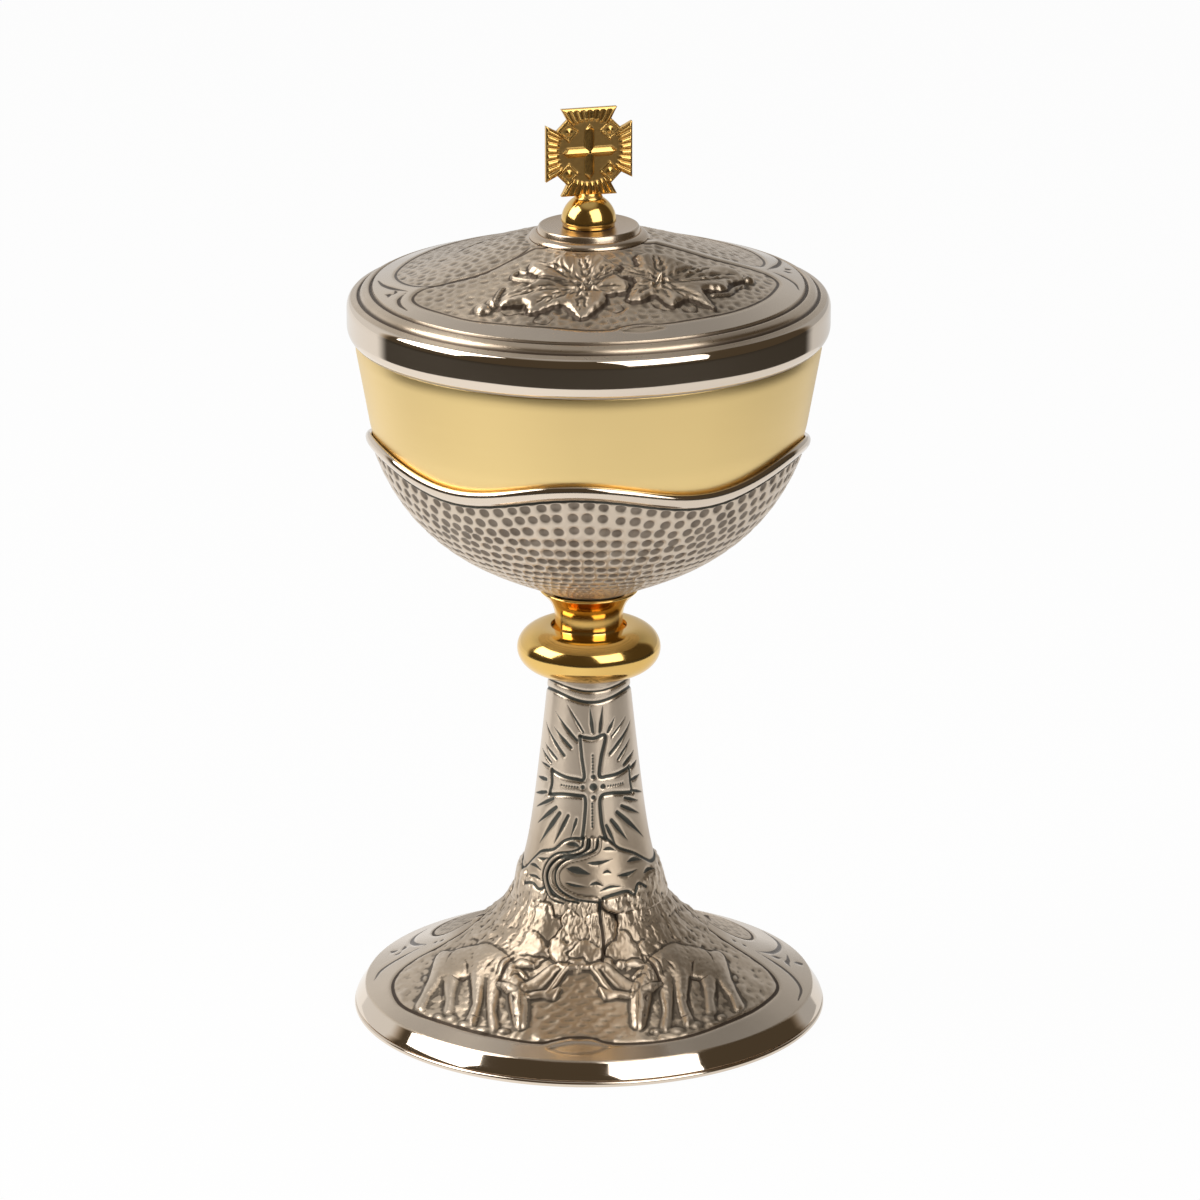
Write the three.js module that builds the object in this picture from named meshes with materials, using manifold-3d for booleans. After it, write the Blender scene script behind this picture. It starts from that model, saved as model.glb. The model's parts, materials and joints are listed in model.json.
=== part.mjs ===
// A lidded chalice, also called a ciborium: a gilt cup in a hammered silver holder, on a knop,
// a tall stem and a wide foot, all drawn together by one threaded rod, with a lift-off lid.
// Millimetres, +Z up. The origin is the centre of the foot's underside and the front is towards -Y.

import * as THREE from 'three';
import { ConvexGeometry } from 'three/addons/geometries/ConvexGeometry.js';
import { mergeVertices } from 'three/addons/utils/BufferGeometryUtils.js';
import Module from 'manifold-3d';

const wasm = await Module();
wasm.setup();

// Fits
const SEAT_GAP = 0.3;
const LID_CLEARANCE = 0.35;

// Foot ring, the wire under the edge of the foot
const FOOT_RADIUS = 60;
const FOOT_RING_HEIGHT = 1.6;
const FOOT_RING_WIDTH = 4;

// Foot and stem, one trumpet of sheet
const FOOT_WALL = 1.3;
const FOOT_LEDGE = 0.2;
const FOOT_BEVEL_HEIGHT = 4.15;
const FOOT_BEVEL_SETBACK = 2.75;
const STEM_HEIGHT = 89.4;
const STEM_TOP_RADIUS = 10.1;
const STEM_TOP_PLATE = 2.2;
const STEM_WAIST_HEIGHT = 38;
const STEM_WAIST_RADIUS = 17.1;
const FLARE_SLOPE = 2.34;
const FLARE_PULL = 37;
const WAIST_SLOPE = 0.27;
const WAIST_PULL_BELOW = 13.2;
const WAIST_PULL_ABOVE = 7.6;
const STEM_TOP_SLOPE = 0.104;
const STEM_TOP_PULL = 40;

// Knop, a hollow ring with an oval section
const KNOP_RADIUS = 18.1;
const KNOP_HEIGHT = 11.8;
const KNOP_SECTION_WIDTH = 7.1;
const KNOP_WALL = 1.2;
const KNOP_RECESS = 1.5;
const KNOP_HOLLOW_REACH = 60;

// Collar between knop and cup holder
const COLLAR_HEIGHT = 11;
const COLLAR_FOOT_RADIUS = 9.3;
const COLLAR_WAIST_RADIUS = 8.5;
const COLLAR_WAIST_HEIGHT = 1.9;
const COLLAR_LIP_RADIUS = 12.4;
const COLLAR_LIP_THICKNESS = 0.5;
const COLLAR_DISH_DEPTH = 1.4;
const COLLAR_LIP_PULL = 3.6;
const COLLAR_WAIST_PULL = 5;
const COLLAR_FOOT_PULL = 0.8;

// Cup and cup holder. The cup's wall is the master curve and the holder follows it outside.
const CALYX_WALL = 0.7;
const CALYX_BASE_RADIUS = 9;
const CUP_WALL = 1.1;
const CUP_MOUTH_RADIUS = 58.1;
const CUP_HEIGHT = 65.4;
const CUP_TAPER = 0.178;
const CUP_BREAK_HEIGHT = 45.8;
const CUP_BELLY_HEIGHT = 39.8;
const CUP_BELLY_INSET = 5.16;
const CUP_BELLY_SLOPE = 0.335;
const CUP_BELLY_PULL = 29.3;
const CUP_BASE_SLOPE = 0.564;
const CUP_BASE_PULL = 14.5;
const CUP_FLOOR_HEIGHT = 5.4;
const CUP_FLOOR_REACH = 24;
const CUP_LIP_ROUND = 0.4;

// The wavy rolled edge of the cup holder
const WAVE_COUNT = 5;
const WAVE_RISE = 2.35;
const WAVE_PHASE = THREE.MathUtils.degToRad(-2.4);
const WAVE_EDGE_HEIGHT = 41.85;
const WAVE_FADE_HEIGHT = 13;
const BAND_HEIGHT = 4;
const BAND_BULGE = 0.35;
const BAND_GROOVE_WIDTH = 0.5;
const BAND_GROOVE_DEPTH = 0.25;

// Threaded boss, rod, washers and nut inside the cup, stem and foot
const ROD_RADIUS = 3;
const ROD_CHAMFER = 0.6;
const ROD_TAIL = 3;
const ROD_ENTRY = 3.4;
const BOSS_HUB_RADIUS = 8;
const BOSS_HUB_HEIGHT = 2.3;
const BOSS_FLANGE_RADIUS = 11.5;
const BOSS_FLANGE_HEIGHT = 1.6;
const DISH_RIM_HEIGHT = 30;
const DISH_DEPTH = 4;
const DISH_THICKNESS = 1.6;
const DISH_FLAT_RADIUS = 8;
const SPRING_WASHER_WIDTH = 2.4;
const SPRING_WASHER_HEIGHT = 1.4;
const SPRING_WASHER_SPLIT = 0.9;
const TIE_NUT_ACROSS_FLATS = 10;
const TIE_NUT_HEIGHT = 5;

// Lid
const LID_TURN = THREE.MathUtils.degToRad(15.7);
const LID_WALL = 1.3;
const RIM_OVERHANG = 1.9;
const RIM_WALL = 1.5;
const RIM_UNDERCUT_HEIGHT = 3.3;
const RIM_BAND_HEIGHT = 5.4;
const RIM_ROLL_HEIGHT = 2.65;
const RIM_ROLL_WIDTH = 1.3;
const RIM_ROLL_REACH = 75;
const SHOULDER_WIDTH = 5.2;
const SHOULDER_WALL = 1.56;
const SHOULDER_RISE = 2.75;
const SHOULDER_GROOVE_DEPTH = 0.55;
const SHOULDER_GROOVE_WIDTH = 0.7;
const SHOULDER_GROOVE_INSET = 1.64;
const SHOULDER_RING_WIDTH = 2.36;
const SHOULDER_RING_RISE = 0.3;
const DOME_SLOPE = 0.336;
const DOME_TOP_RADIUS = 17.2;
const SKIRT_DEPTH = 5.9;
const SKIRT_WALL = 1;
const SKIRT_LIP_WIDTH = 1.3;
const SKIRT_LIP_HEIGHT = 1;

// Disc, ball and cross on top of the lid
const DISC_RADIUS = 16.7;
const DISC_HEIGHT = 2.75;
const DISC_STEP_RADIUS = 12.5;
const DISC_STEP_HEIGHT = 1.25;
const DISC_TOP_RADIUS = 11.9;
const DISC_DISH = 0.3;
const BALL_RADIUS = 6.85;
const BALL_BASE_RADIUS = 6.4;
const BALL_BASE_HEIGHT = 1;
const BALL_BASE_EDGE = 0.6;
const BALL_TOP_RADIUS = 3.65;
const CROSS_SPAN = 22;
const CROSS_ARM_WIDTH = 14.2;
const CROSS_NECK_WIDTH = 11.2;
const CROSS_NECK_DISTANCE = 8.2;
const CROSS_PLATE = 1.5;
const CROSS_RAYS = 8;
const CROSS_RAY_RISE = 0.45;
const CROSS_RAY_START = 0.68;
const SMALL_CROSS_LENGTH = 13.7;
const SMALL_CROSS_WIDTH = 2.6;
const SMALL_CROSS_RISE = 0.7;
const LOZENGE_SIZE = 3.7;
const LOZENGE_RISE = 0.3;
const LOZENGE_STUD_SIZE = 1.7;
const LOZENGE_STUD_RISE = 0.65;
const LOZENGE_DISTANCE = 6.5;
const PEG_RADIUS = 1;
const PEG_LENGTH = 1.5;
const PEDESTAL_HEIGHT = 1;
const PEDESTAL_TOP_RADIUS = 2.9;
const STUD_RADIUS = 2;
const STUD_CHAMFER = 0.4;
const STUD_ENTRY = 3.6;
const STUD_TAIL = 1.2;
const FINIAL_WASHER_RADIUS = 6;
const FINIAL_WASHER_HEIGHT = 1.2;
const FINIAL_NUT_ACROSS_FLATS = 7;
const FINIAL_NUT_HEIGHT = 3.6;

// Facets round a turned piece, and steps along a curve of its profile
const WIDE_FACETS = 36;
const NARROW_FACETS = 24;
const THREAD_FACETS = 12;
const LONG_STEPS = 10;
const FLARE_STEPS = 8;
const MIDDLE_STEPS = 6;
const SHORT_STEPS = 4;
const EDGE_STEPS = 3;
const MERGE_DISTANCE = 1e-4;
const SHARPEST_MITRE = 0.5;

// Heights where the pieces stand, each worked out from the piece below it
const rodHole = ROD_RADIUS + SEAT_GAP;
const footBase = FOOT_RING_HEIGHT + SEAT_GAP;
const knopBase = STEM_HEIGHT + SEAT_GAP;
const knopSeat = knopBase + KNOP_HEIGHT - KNOP_RECESS;
const collarBase = knopSeat + SEAT_GAP;
const collarSeat = collarBase + COLLAR_HEIGHT - COLLAR_DISH_DEPTH;
const calyxBase = collarSeat + SEAT_GAP;
const cupMouth = calyxBase + CUP_HEIGHT;
const lidBase = cupMouth + SEAT_GAP;
const rimRadius = CUP_MOUTH_RADIUS + RIM_OVERHANG;

const silver = { color: 0xb9ab98, roughness: 0.35, metalness: 1 };
const polishedSilver = { color: 0xd6cbbb, roughness: 0.12, metalness: 1 };
const satinGold = { color: 0xdcc07c, roughness: 0.35, metalness: 1 };
const polishedGold = { color: 0xd9a53f, roughness: 0.1, metalness: 1 };
const antiqueGold = { color: 0xb98a3e, roughness: 0.3, metalness: 1 };
const steel = { color: 0x9a9a98, roughness: 0.4, metalness: 1 };

const point = (radius, height) => new THREE.Vector2(radius, height);

// A curve that leaves one point and arrives at another in given directions
function curve(from, leaving, leavingPull, to, arriving, arrivingPull, steps) {
  const handleA = from.clone().add(point(...leaving).setLength(leavingPull));
  const handleB = to.clone().sub(point(...arriving).setLength(arrivingPull));
  return new THREE.CubicBezierCurve(from, handleA, handleB, to).getPoints(steps);
}

// Part of an ellipse about a centre, between two angles in degrees
function arc(centre, width, height, fromDegrees, toDegrees, steps) {
  const from = THREE.MathUtils.degToRad(fromDegrees);
  const to = THREE.MathUtils.degToRad(toDegrees);
  const clockwise = to < from;
  return new THREE.EllipseCurve(centre.x, centre.y, width, height, from, to, clockwise).getPoints(steps);
}

// The same path moved sideways by a distance, to the left of its direction
function offset(path, distance) {
  return path.map((here, i) => {
    const before = path[Math.max(i - 1, 0)];
    const after = path[Math.min(i + 1, path.length - 1)];
    const first = here.clone().sub(before).normalize();
    const second = after.clone().sub(here).normalize();
    const along = first.clone().add(second).normalize();
    const lean = Math.max(along.dot(first.lengthSq() > 0 ? first : second), SHARPEST_MITRE);
    return point(here.x - along.y * distance / lean, here.y + along.x * distance / lean);
  });
}

// Radius of a rising path at a height
function radiusAt(path, height) {
  const above = path.findIndex((spot) => spot.y >= height);
  if (above === 0) {
    return path[0].x;
  }
  if (above < 0) {
    return path.at(-1).x;
  }
  const low = path[above - 1];
  const high = path[above];
  return THREE.MathUtils.mapLinear(height, low.y, high.y, low.x, high.x);
}

// A turned piece from a profile of points that closes on itself or starts and ends on the axis
function turned(profile, facets) {
  const onAxis = profile[0].x === 0 && profile.at(-1).x === 0;
  const closed = onAxis ? profile : [...profile, profile[0].clone()];
  const geometry = new THREE.LatheGeometry(closed, facets);
  return geometry.rotateX(Math.PI / 2);
}

function named(name, geometry, finish) {
  const mesh = new THREE.Mesh(geometry, new THREE.MeshStandardMaterial(finish));
  mesh.name = name;
  return mesh;
}

function toSolid(geometry) {
  const bare = geometry.clone();
  bare.deleteAttribute('normal');
  bare.deleteAttribute('uv');
  const merged = mergeVertices(bare, MERGE_DISTANCE);
  const vertProperties = new Float32Array(merged.attributes.position.array);
  const triVerts = new Uint32Array(merged.index.array);
  return new wasm.Manifold(new wasm.Mesh({ numProp: 3, vertProperties, triVerts }));
}

function toGeometry(solid) {
  const mesh = solid.getMesh();
  const geometry = new THREE.BufferGeometry();
  geometry.setAttribute('position', new THREE.BufferAttribute(mesh.vertProperties, 3));
  geometry.setIndex(new THREE.BufferAttribute(mesh.triVerts, 1));
  return geometry;
}

function extruded(outline, depth) {
  const curveSegments = THREAD_FACETS;
  return new THREE.ExtrudeGeometry(outline, { depth, bevelEnabled: false, curveSegments });
}

function hexNut(acrossFlats, height, holeRadius) {
  const corner = acrossFlats / Math.sqrt(3);
  const corners = [0, 1, 2, 3, 4, 5].map((side) => {
    return point(corner, 0).rotateAround(point(0, 0), side * Math.PI / 3);
  });
  const outline = new THREE.Shape(corners);
  outline.holes.push(new THREE.Path().absarc(0, 0, holeRadius, 0, 2 * Math.PI, true));
  return extruded(outline, height);
}

function threadedBar(radius, chamfer, low, high) {
  const profile = [
    point(0, low),
    point(radius - chamfer, low),
    point(radius, low + chamfer),
    point(radius, high - chamfer),
    point(radius - chamfer, high),
    point(0, high),
  ];
  return turned(profile, THREAD_FACETS);
}

// Outer line of the foot and stem, from the edge of the bevel up to the knop
function footLine() {
  const bevelFoot = point(FOOT_RADIUS - FOOT_LEDGE, footBase);
  const bevelTop = point(bevelFoot.x - FOOT_BEVEL_SETBACK, footBase + FOOT_BEVEL_HEIGHT);
  const waist = point(STEM_WAIST_RADIUS, STEM_WAIST_HEIGHT);
  const top = point(STEM_TOP_RADIUS, STEM_HEIGHT);
  const waistWay = [-WAIST_SLOPE, 1];
  const flare = curve(bevelTop, [-FLARE_SLOPE, 1], FLARE_PULL, waist, waistWay, WAIST_PULL_BELOW, FLARE_STEPS);
  const topWay = [-STEM_TOP_SLOPE, 1];
  const stem = curve(waist, waistWay, WAIST_PULL_ABOVE, top, topWay, STEM_TOP_PULL, SHORT_STEPS);
  return [bevelFoot, ...flare, ...stem.slice(1)];
}

function footInnerLine() {
  return offset(footLine(), FOOT_WALL);
}

function footRing() {
  const bead = FOOT_RING_HEIGHT / 2;
  const inner = FOOT_RADIUS - FOOT_RING_WIDTH;
  const profile = [
    point(inner, 0),
    ...arc(point(FOOT_RADIUS - bead, bead), bead, bead, -90, 90, SHORT_STEPS),
    point(inner, FOOT_RING_HEIGHT),
  ];
  return turned(profile, WIDE_FACETS);
}

function footShell() {
  const plate = STEM_HEIGHT - STEM_TOP_PLATE;
  const inner = footInnerLine().filter((spot) => spot.y < plate);
  const underPlate = point(radiusAt(footInnerLine(), plate), plate);
  const profile = [
    ...footLine(),
    point(rodHole, STEM_HEIGHT),
    point(rodHole, plate),
    underPlate,
    ...inner.slice(1).reverse(),
    point(inner[0].x, footBase),
  ];
  return turned(profile, WIDE_FACETS);
}

function knop() {
  const halfHeight = KNOP_HEIGHT / 2;
  const centre = point(KNOP_RADIUS - KNOP_SECTION_WIDTH, knopBase + halfHeight);
  const hollowWidth = KNOP_SECTION_WIDTH - KNOP_WALL;
  const hollowHeight = halfHeight - KNOP_WALL;
  const ledge = COLLAR_FOOT_RADIUS + SEAT_GAP;
  const outside = arc(centre, KNOP_SECTION_WIDTH, halfHeight, -90, 90, LONG_STEPS);
  const reach = KNOP_HOLLOW_REACH;
  const inside = arc(centre, hollowWidth, hollowHeight, reach, -reach, MIDDLE_STEPS);
  const profile = [
    point(rodHole, knopBase),
    ...outside,
    point(ledge, knopBase + KNOP_HEIGHT),
    point(ledge, knopSeat),
    point(rodHole, knopSeat),
    point(rodHole, knopSeat - KNOP_WALL),
    point(ledge, knopSeat - KNOP_WALL),
    ...inside,
    point(rodHole, knopBase + KNOP_WALL),
  ];
  return turned(profile, NARROW_FACETS);
}

function neckCollar() {
  const foot = point(COLLAR_FOOT_RADIUS, collarBase);
  const waist = point(COLLAR_WAIST_RADIUS, collarBase + COLLAR_WAIST_HEIGHT);
  const lip = point(COLLAR_LIP_RADIUS, collarBase + COLLAR_HEIGHT - COLLAR_LIP_THICKNESS);
  const profile = [
    point(rodHole, collarBase),
    ...curve(foot, [-1, 1], COLLAR_FOOT_PULL, waist, [0, 1], COLLAR_FOOT_PULL, EDGE_STEPS),
    ...curve(waist, [0, 1], COLLAR_WAIST_PULL, lip, [1, 1], COLLAR_LIP_PULL, MIDDLE_STEPS).slice(1),
    point(COLLAR_LIP_RADIUS - COLLAR_LIP_THICKNESS / 2, lip.y + COLLAR_LIP_THICKNESS),
    point(CALYX_BASE_RADIUS + SEAT_GAP, collarSeat),
    point(rodHole, collarSeat),
  ];
  return turned(profile, NARROW_FACETS);
}

// Outer line of the cup's wall, from the seat in the holder up to the mouth
function cupWallLine() {
  const shell = CALYX_WALL + SEAT_GAP;
  const start = point(CALYX_BASE_RADIUS - shell * Math.sin(Math.atan(CUP_BASE_SLOPE)), calyxBase + shell);
  const belly = point(CUP_MOUTH_RADIUS - CUP_BELLY_INSET, calyxBase + CUP_BELLY_HEIGHT);
  const breakInset = (CUP_HEIGHT - CUP_BREAK_HEIGHT) * CUP_TAPER;
  const breakPoint = point(CUP_MOUTH_RADIUS - breakInset, calyxBase + CUP_BREAK_HEIGHT);
  const bellyWay = [CUP_BELLY_SLOPE, 1];
  const pull = (CUP_BREAK_HEIGHT - CUP_BELLY_HEIGHT) / 3;
  const baseWay = [1, CUP_BASE_SLOPE];
  const round = curve(start, baseWay, CUP_BASE_PULL, belly, bellyWay, CUP_BELLY_PULL, LONG_STEPS);
  const ease = curve(belly, bellyWay, pull, breakPoint, [CUP_TAPER, 1], pull, 2);
  return [...round, ...ease.slice(1), point(CUP_MOUTH_RADIUS, cupMouth)];
}

function cupBowl() {
  const wall = cupWallLine().filter((spot) => spot.x > CUP_FLOOR_REACH);
  const floor = point(0, calyxBase + CUP_FLOOR_HEIGHT);
  const join = wall[0];
  const wallWay = [wall[1].x - join.x, wall[1].y - join.y];
  const reach = join.x / 2;
  const bottom = curve(floor, [1, 0], reach, join, wallWay, reach / 2, SHORT_STEPS);
  const outside = [...bottom, ...wall.slice(1)];
  const inside = offset(outside, CUP_WALL).slice(0, -1).reverse();
  const rimOut = outside.pop();
  const lipIn = rimOut.x - CUP_WALL;
  const profile = [
    ...outside,
    point(rimOut.x, cupMouth - CUP_LIP_ROUND),
    point(rimOut.x - CUP_LIP_ROUND, cupMouth),
    point(lipIn + CUP_LIP_ROUND / 2, cupMouth),
    point(lipIn, cupMouth - CUP_LIP_ROUND),
    ...inside.slice(0, -1),
    point(0, floor.y + CUP_WALL),
  ];
  return turned(profile, WIDE_FACETS);
}

// Raises or lowers the holder's upper edge in waves, each point sliding along the cup's wall
function waveEdge(geometry, wall, low, high) {
  const spots = geometry.attributes.position;
  for (let i = 0; i < spots.count; i += 1) {
    const x = spots.getX(i);
    const y = spots.getY(i);
    const z = spots.getZ(i);
    const radius = Math.hypot(x, y);
    const angle = Math.atan2(x, -y) - WAVE_PHASE;
    const rise = WAVE_RISE * Math.cos(WAVE_COUNT * angle) * THREE.MathUtils.smoothstep(z, low, high);
    const slid = radius + radiusAt(wall, z + rise) - radiusAt(wall, z);
    spots.setXYZ(i, x * slid / radius, y * slid / radius, z + rise);
  }
  return geometry;
}

function calyx() {
  const wall = cupWallLine();
  const edge = calyxBase + WAVE_EDGE_HEIGHT;
  const bandFoot = edge - BAND_HEIGHT;
  const grooveFoot = bandFoot - BAND_GROOVE_WIDTH;
  const outer = SEAT_GAP + CALYX_WALL;
  const beside = (height, distance) => point(radiusAt(wall, height) + distance, height);
  const outside = offset(wall, -outer).filter((spot) => spot.y < grooveFoot);
  const inside = offset(wall, -SEAT_GAP).filter((spot) => spot.y < bandFoot).reverse();
  const bead = [0, 1, 2, 3].map((step) => {
    const part = step / SHORT_STEPS;
    return beside(bandFoot + BAND_HEIGHT * part, outer + BAND_BULGE * Math.sin(Math.PI * part));
  });
  const profile = [
    point(rodHole, calyxBase),
    point(CALYX_BASE_RADIUS, calyxBase),
    ...outside.slice(1),
    beside(grooveFoot, outer),
    beside(bandFoot - BAND_GROOVE_WIDTH / 2, outer - BAND_GROOVE_DEPTH),
    ...bead,
    beside(edge, SEAT_GAP + CALYX_WALL / 2),
    beside(edge - CALYX_WALL / 2, SEAT_GAP),
    beside(bandFoot, SEAT_GAP),
    ...inside.slice(0, -1),
    point(CALYX_BASE_RADIUS, calyxBase + CALYX_WALL),
    point(rodHole, calyxBase + CALYX_WALL),
  ];
  const geometry = turned(profile, WIDE_FACETS);
  return waveEdge(geometry, wall, calyxBase + WAVE_FADE_HEIGHT, grooveFoot - BAND_GROOVE_WIDTH);
}

const bossBase = calyxBase + CALYX_WALL + SEAT_GAP;
const bossTop = bossBase + BOSS_HUB_HEIGHT + BOSS_FLANGE_HEIGHT;
const threadTop = bossBase + ROD_ENTRY;

function cupBoss() {
  const flange = bossBase + BOSS_HUB_HEIGHT;
  const profile = [
    point(0, threadTop),
    point(rodHole, threadTop),
    point(rodHole, bossBase),
    point(BOSS_HUB_RADIUS, bossBase),
    point(BOSS_HUB_RADIUS, flange),
    point(BOSS_FLANGE_RADIUS, flange),
    point(BOSS_FLANGE_RADIUS, bossTop),
    point(0, bossTop),
  ];
  return turned(profile, NARROW_FACETS);
}

const dishRadius = radiusAt(footInnerLine(), DISH_RIM_HEIGHT + DISH_THICKNESS) - SEAT_GAP;
const dishBase = DISH_RIM_HEIGHT - DISH_DEPTH;
const springWasherBase = dishBase - SEAT_GAP - SPRING_WASHER_HEIGHT;
const tieNutBase = springWasherBase - SEAT_GAP - TIE_NUT_HEIGHT;

function footWasher() {
  const profile = [
    point(rodHole, dishBase),
    point(DISH_FLAT_RADIUS, dishBase),
    point(dishRadius, DISH_RIM_HEIGHT),
    point(dishRadius, DISH_RIM_HEIGHT + DISH_THICKNESS),
    point(DISH_FLAT_RADIUS, dishBase + DISH_THICKNESS),
    point(rodHole, dishBase + DISH_THICKNESS),
  ];
  return turned(profile, NARROW_FACETS);
}

function springWasher() {
  const outer = rodHole + SPRING_WASHER_WIDTH;
  const split = SPRING_WASHER_SPLIT / outer;
  const outline = new THREE.Shape();
  outline.absarc(0, 0, outer, split, 2 * Math.PI - split, false);
  outline.absarc(0, 0, rodHole, 2 * Math.PI - split, split, true);
  return extruded(outline, SPRING_WASHER_HEIGHT);
}

const tieRodTop = threadTop - SEAT_GAP;
const tieRodFoot = tieNutBase - ROD_TAIL;

// Top of the lid's dome, where the disc sits
const shoulderFoot = lidBase + RIM_UNDERCUT_HEIGHT + RIM_BAND_HEIGHT + RIM_ROLL_HEIGHT;
const shoulderTop = shoulderFoot + SHOULDER_RISE;
const shoulderOuter = rimRadius - RIM_ROLL_WIDTH;
const domeOuter = shoulderOuter - SHOULDER_WIDTH;
const lidTop = shoulderTop + (domeOuter - DOME_TOP_RADIUS) * DOME_SLOPE;
const studHole = STUD_RADIUS + SEAT_GAP;
const skirtFoot = lidBase - SKIRT_DEPTH;
const skirtOuter = radiusAt(cupWallLine(), skirtFoot) - CUP_WALL - LID_CLEARANCE;
const flangeRadius = skirtOuter + SEAT_GAP;

// The moulded step of the lid: a groove, a half-round ring and a second groove on a slope
function shoulderLine() {
  const slope = SHOULDER_RISE / SHOULDER_WIDTH;
  const onSlope = (inset, lift) => point(shoulderOuter - inset, shoulderFoot + inset * slope + lift);
  const half = SHOULDER_GROOVE_WIDTH / 2;
  const ring = SHOULDER_GROOVE_INSET + half;
  const secondGroove = ring + SHOULDER_RING_WIDTH + half;
  return [
    onSlope(SHOULDER_GROOVE_INSET - half, 0),
    onSlope(SHOULDER_GROOVE_INSET, -SHOULDER_GROOVE_DEPTH),
    onSlope(ring, 0),
    onSlope(ring + SHOULDER_RING_WIDTH / 3, SHOULDER_RING_RISE),
    onSlope(ring + SHOULDER_RING_WIDTH * 2 / 3, SHOULDER_RING_RISE),
    onSlope(ring + SHOULDER_RING_WIDTH, 0),
    onSlope(secondGroove, -SHOULDER_GROOVE_DEPTH),
    onSlope(secondGroove + half, 0),
  ];
}

function lidShell() {
  const undercut = point(rimRadius - RIM_OVERHANG, lidBase + RIM_UNDERCUT_HEIGHT);
  const rollFoot = undercut.y + RIM_BAND_HEIGHT;
  const rollCentre = point(shoulderOuter, rollFoot);
  const innerWall = rimRadius - RIM_WALL;
  const ceiling = lidTop - LID_WALL;
  const flangeTop = lidBase + LID_WALL;
  const profile = [
    point(flangeRadius, lidBase),
    ...arc(undercut, RIM_OVERHANG, RIM_UNDERCUT_HEIGHT, -90, 0, SHORT_STEPS),
    ...arc(rollCentre, RIM_ROLL_WIDTH, RIM_ROLL_HEIGHT, 0, RIM_ROLL_REACH, EDGE_STEPS),
    ...shoulderLine(),
    point(DOME_TOP_RADIUS, lidTop),
    point(studHole, lidTop),
    point(studHole, ceiling),
    point(DOME_TOP_RADIUS, ceiling),
    point(domeOuter, shoulderTop - SHOULDER_WALL),
    point(innerWall, shoulderFoot - SHOULDER_WALL),
    point(innerWall, flangeTop),
    point(flangeRadius, flangeTop),
  ];
  return turned(profile, WIDE_FACETS);
}

function lidSkirt() {
  const lipFoot = lidBase + LID_WALL + SEAT_GAP;
  const lipTop = lipFoot + SKIRT_LIP_HEIGHT;
  const inner = skirtOuter - SKIRT_WALL;
  const profile = [
    point(inner, skirtFoot),
    point(skirtOuter, skirtFoot),
    point(skirtOuter, lipFoot),
    point(skirtOuter + SKIRT_LIP_WIDTH, lipFoot),
    point(skirtOuter + SKIRT_LIP_WIDTH, lipTop),
    point(inner, lipTop),
  ];
  return turned(profile, WIDE_FACETS);
}

const discBase = lidTop + SEAT_GAP;
const ballBase = discBase + DISC_HEIGHT - DISC_DISH + SEAT_GAP;
const ballRise = Math.sqrt(BALL_RADIUS ** 2 - BALL_TOP_RADIUS ** 2);
const ballTop = ballBase + BALL_BASE_HEIGHT + ballRise;
const pegHole = PEG_RADIUS + SEAT_GAP;

function lidBoss() {
  const top = discBase + DISC_HEIGHT;
  const step = discBase + DISC_STEP_HEIGHT;
  const edge = top - DISC_STEP_HEIGHT / 2;
  const roll = DISC_STEP_HEIGHT / 2;
  const profile = [
    point(studHole, discBase),
    ...arc(point(DISC_RADIUS - roll, discBase + roll / 2), roll, roll, -30, 90, EDGE_STEPS),
    point(DISC_STEP_RADIUS, step),
    ...arc(point(DISC_TOP_RADIUS - roll, edge), roll, roll, -30, 90, EDGE_STEPS),
    point(BALL_BASE_RADIUS + roll, top - DISC_DISH),
    point(studHole, top - DISC_DISH),
  ];
  return turned(profile, NARROW_FACETS);
}

function finialBall() {
  const centre = point(0, ballBase + BALL_BASE_HEIGHT);
  const topAngle = THREE.MathUtils.radToDeg(Math.acos(BALL_TOP_RADIUS / BALL_RADIUS));
  const threadEnd = ballBase + STUD_ENTRY + SEAT_GAP;
  const pegEnd = ballTop - PEG_LENGTH - SEAT_GAP;
  const profile = [
    point(0, threadEnd),
    point(studHole, threadEnd),
    point(studHole, ballBase),
    point(BALL_BASE_RADIUS, ballBase),
    point(BALL_BASE_RADIUS, ballBase + BALL_BASE_EDGE),
    ...arc(centre, BALL_RADIUS, BALL_RADIUS, 0, topAngle, MIDDLE_STEPS),
    point(pegHole, ballTop),
    point(pegHole, pegEnd),
    point(0, pegEnd),
  ];
  return turned(profile, NARROW_FACETS);
}

// Flat outline of the cross: four arms that widen outwards, with a slanted edge between them
function crossOutline() {
  const tip = CROSS_SPAN / 2;
  const halfArm = CROSS_ARM_WIDTH / 2;
  const halfNeck = CROSS_NECK_WIDTH / 2;
  const armEnd = [
    point(halfNeck, CROSS_NECK_DISTANCE),
    point(halfArm, tip),
    point(-halfArm, tip),
    point(-halfNeck, CROSS_NECK_DISTANCE),
  ];
  const corners = [0, 1, 2, 3].flatMap((arm) => {
    return armEnd.map((spot) => spot.clone().rotateAround(point(0, 0), arm * Math.PI / 2));
  });
  return new THREE.Shape(corners);
}

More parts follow.
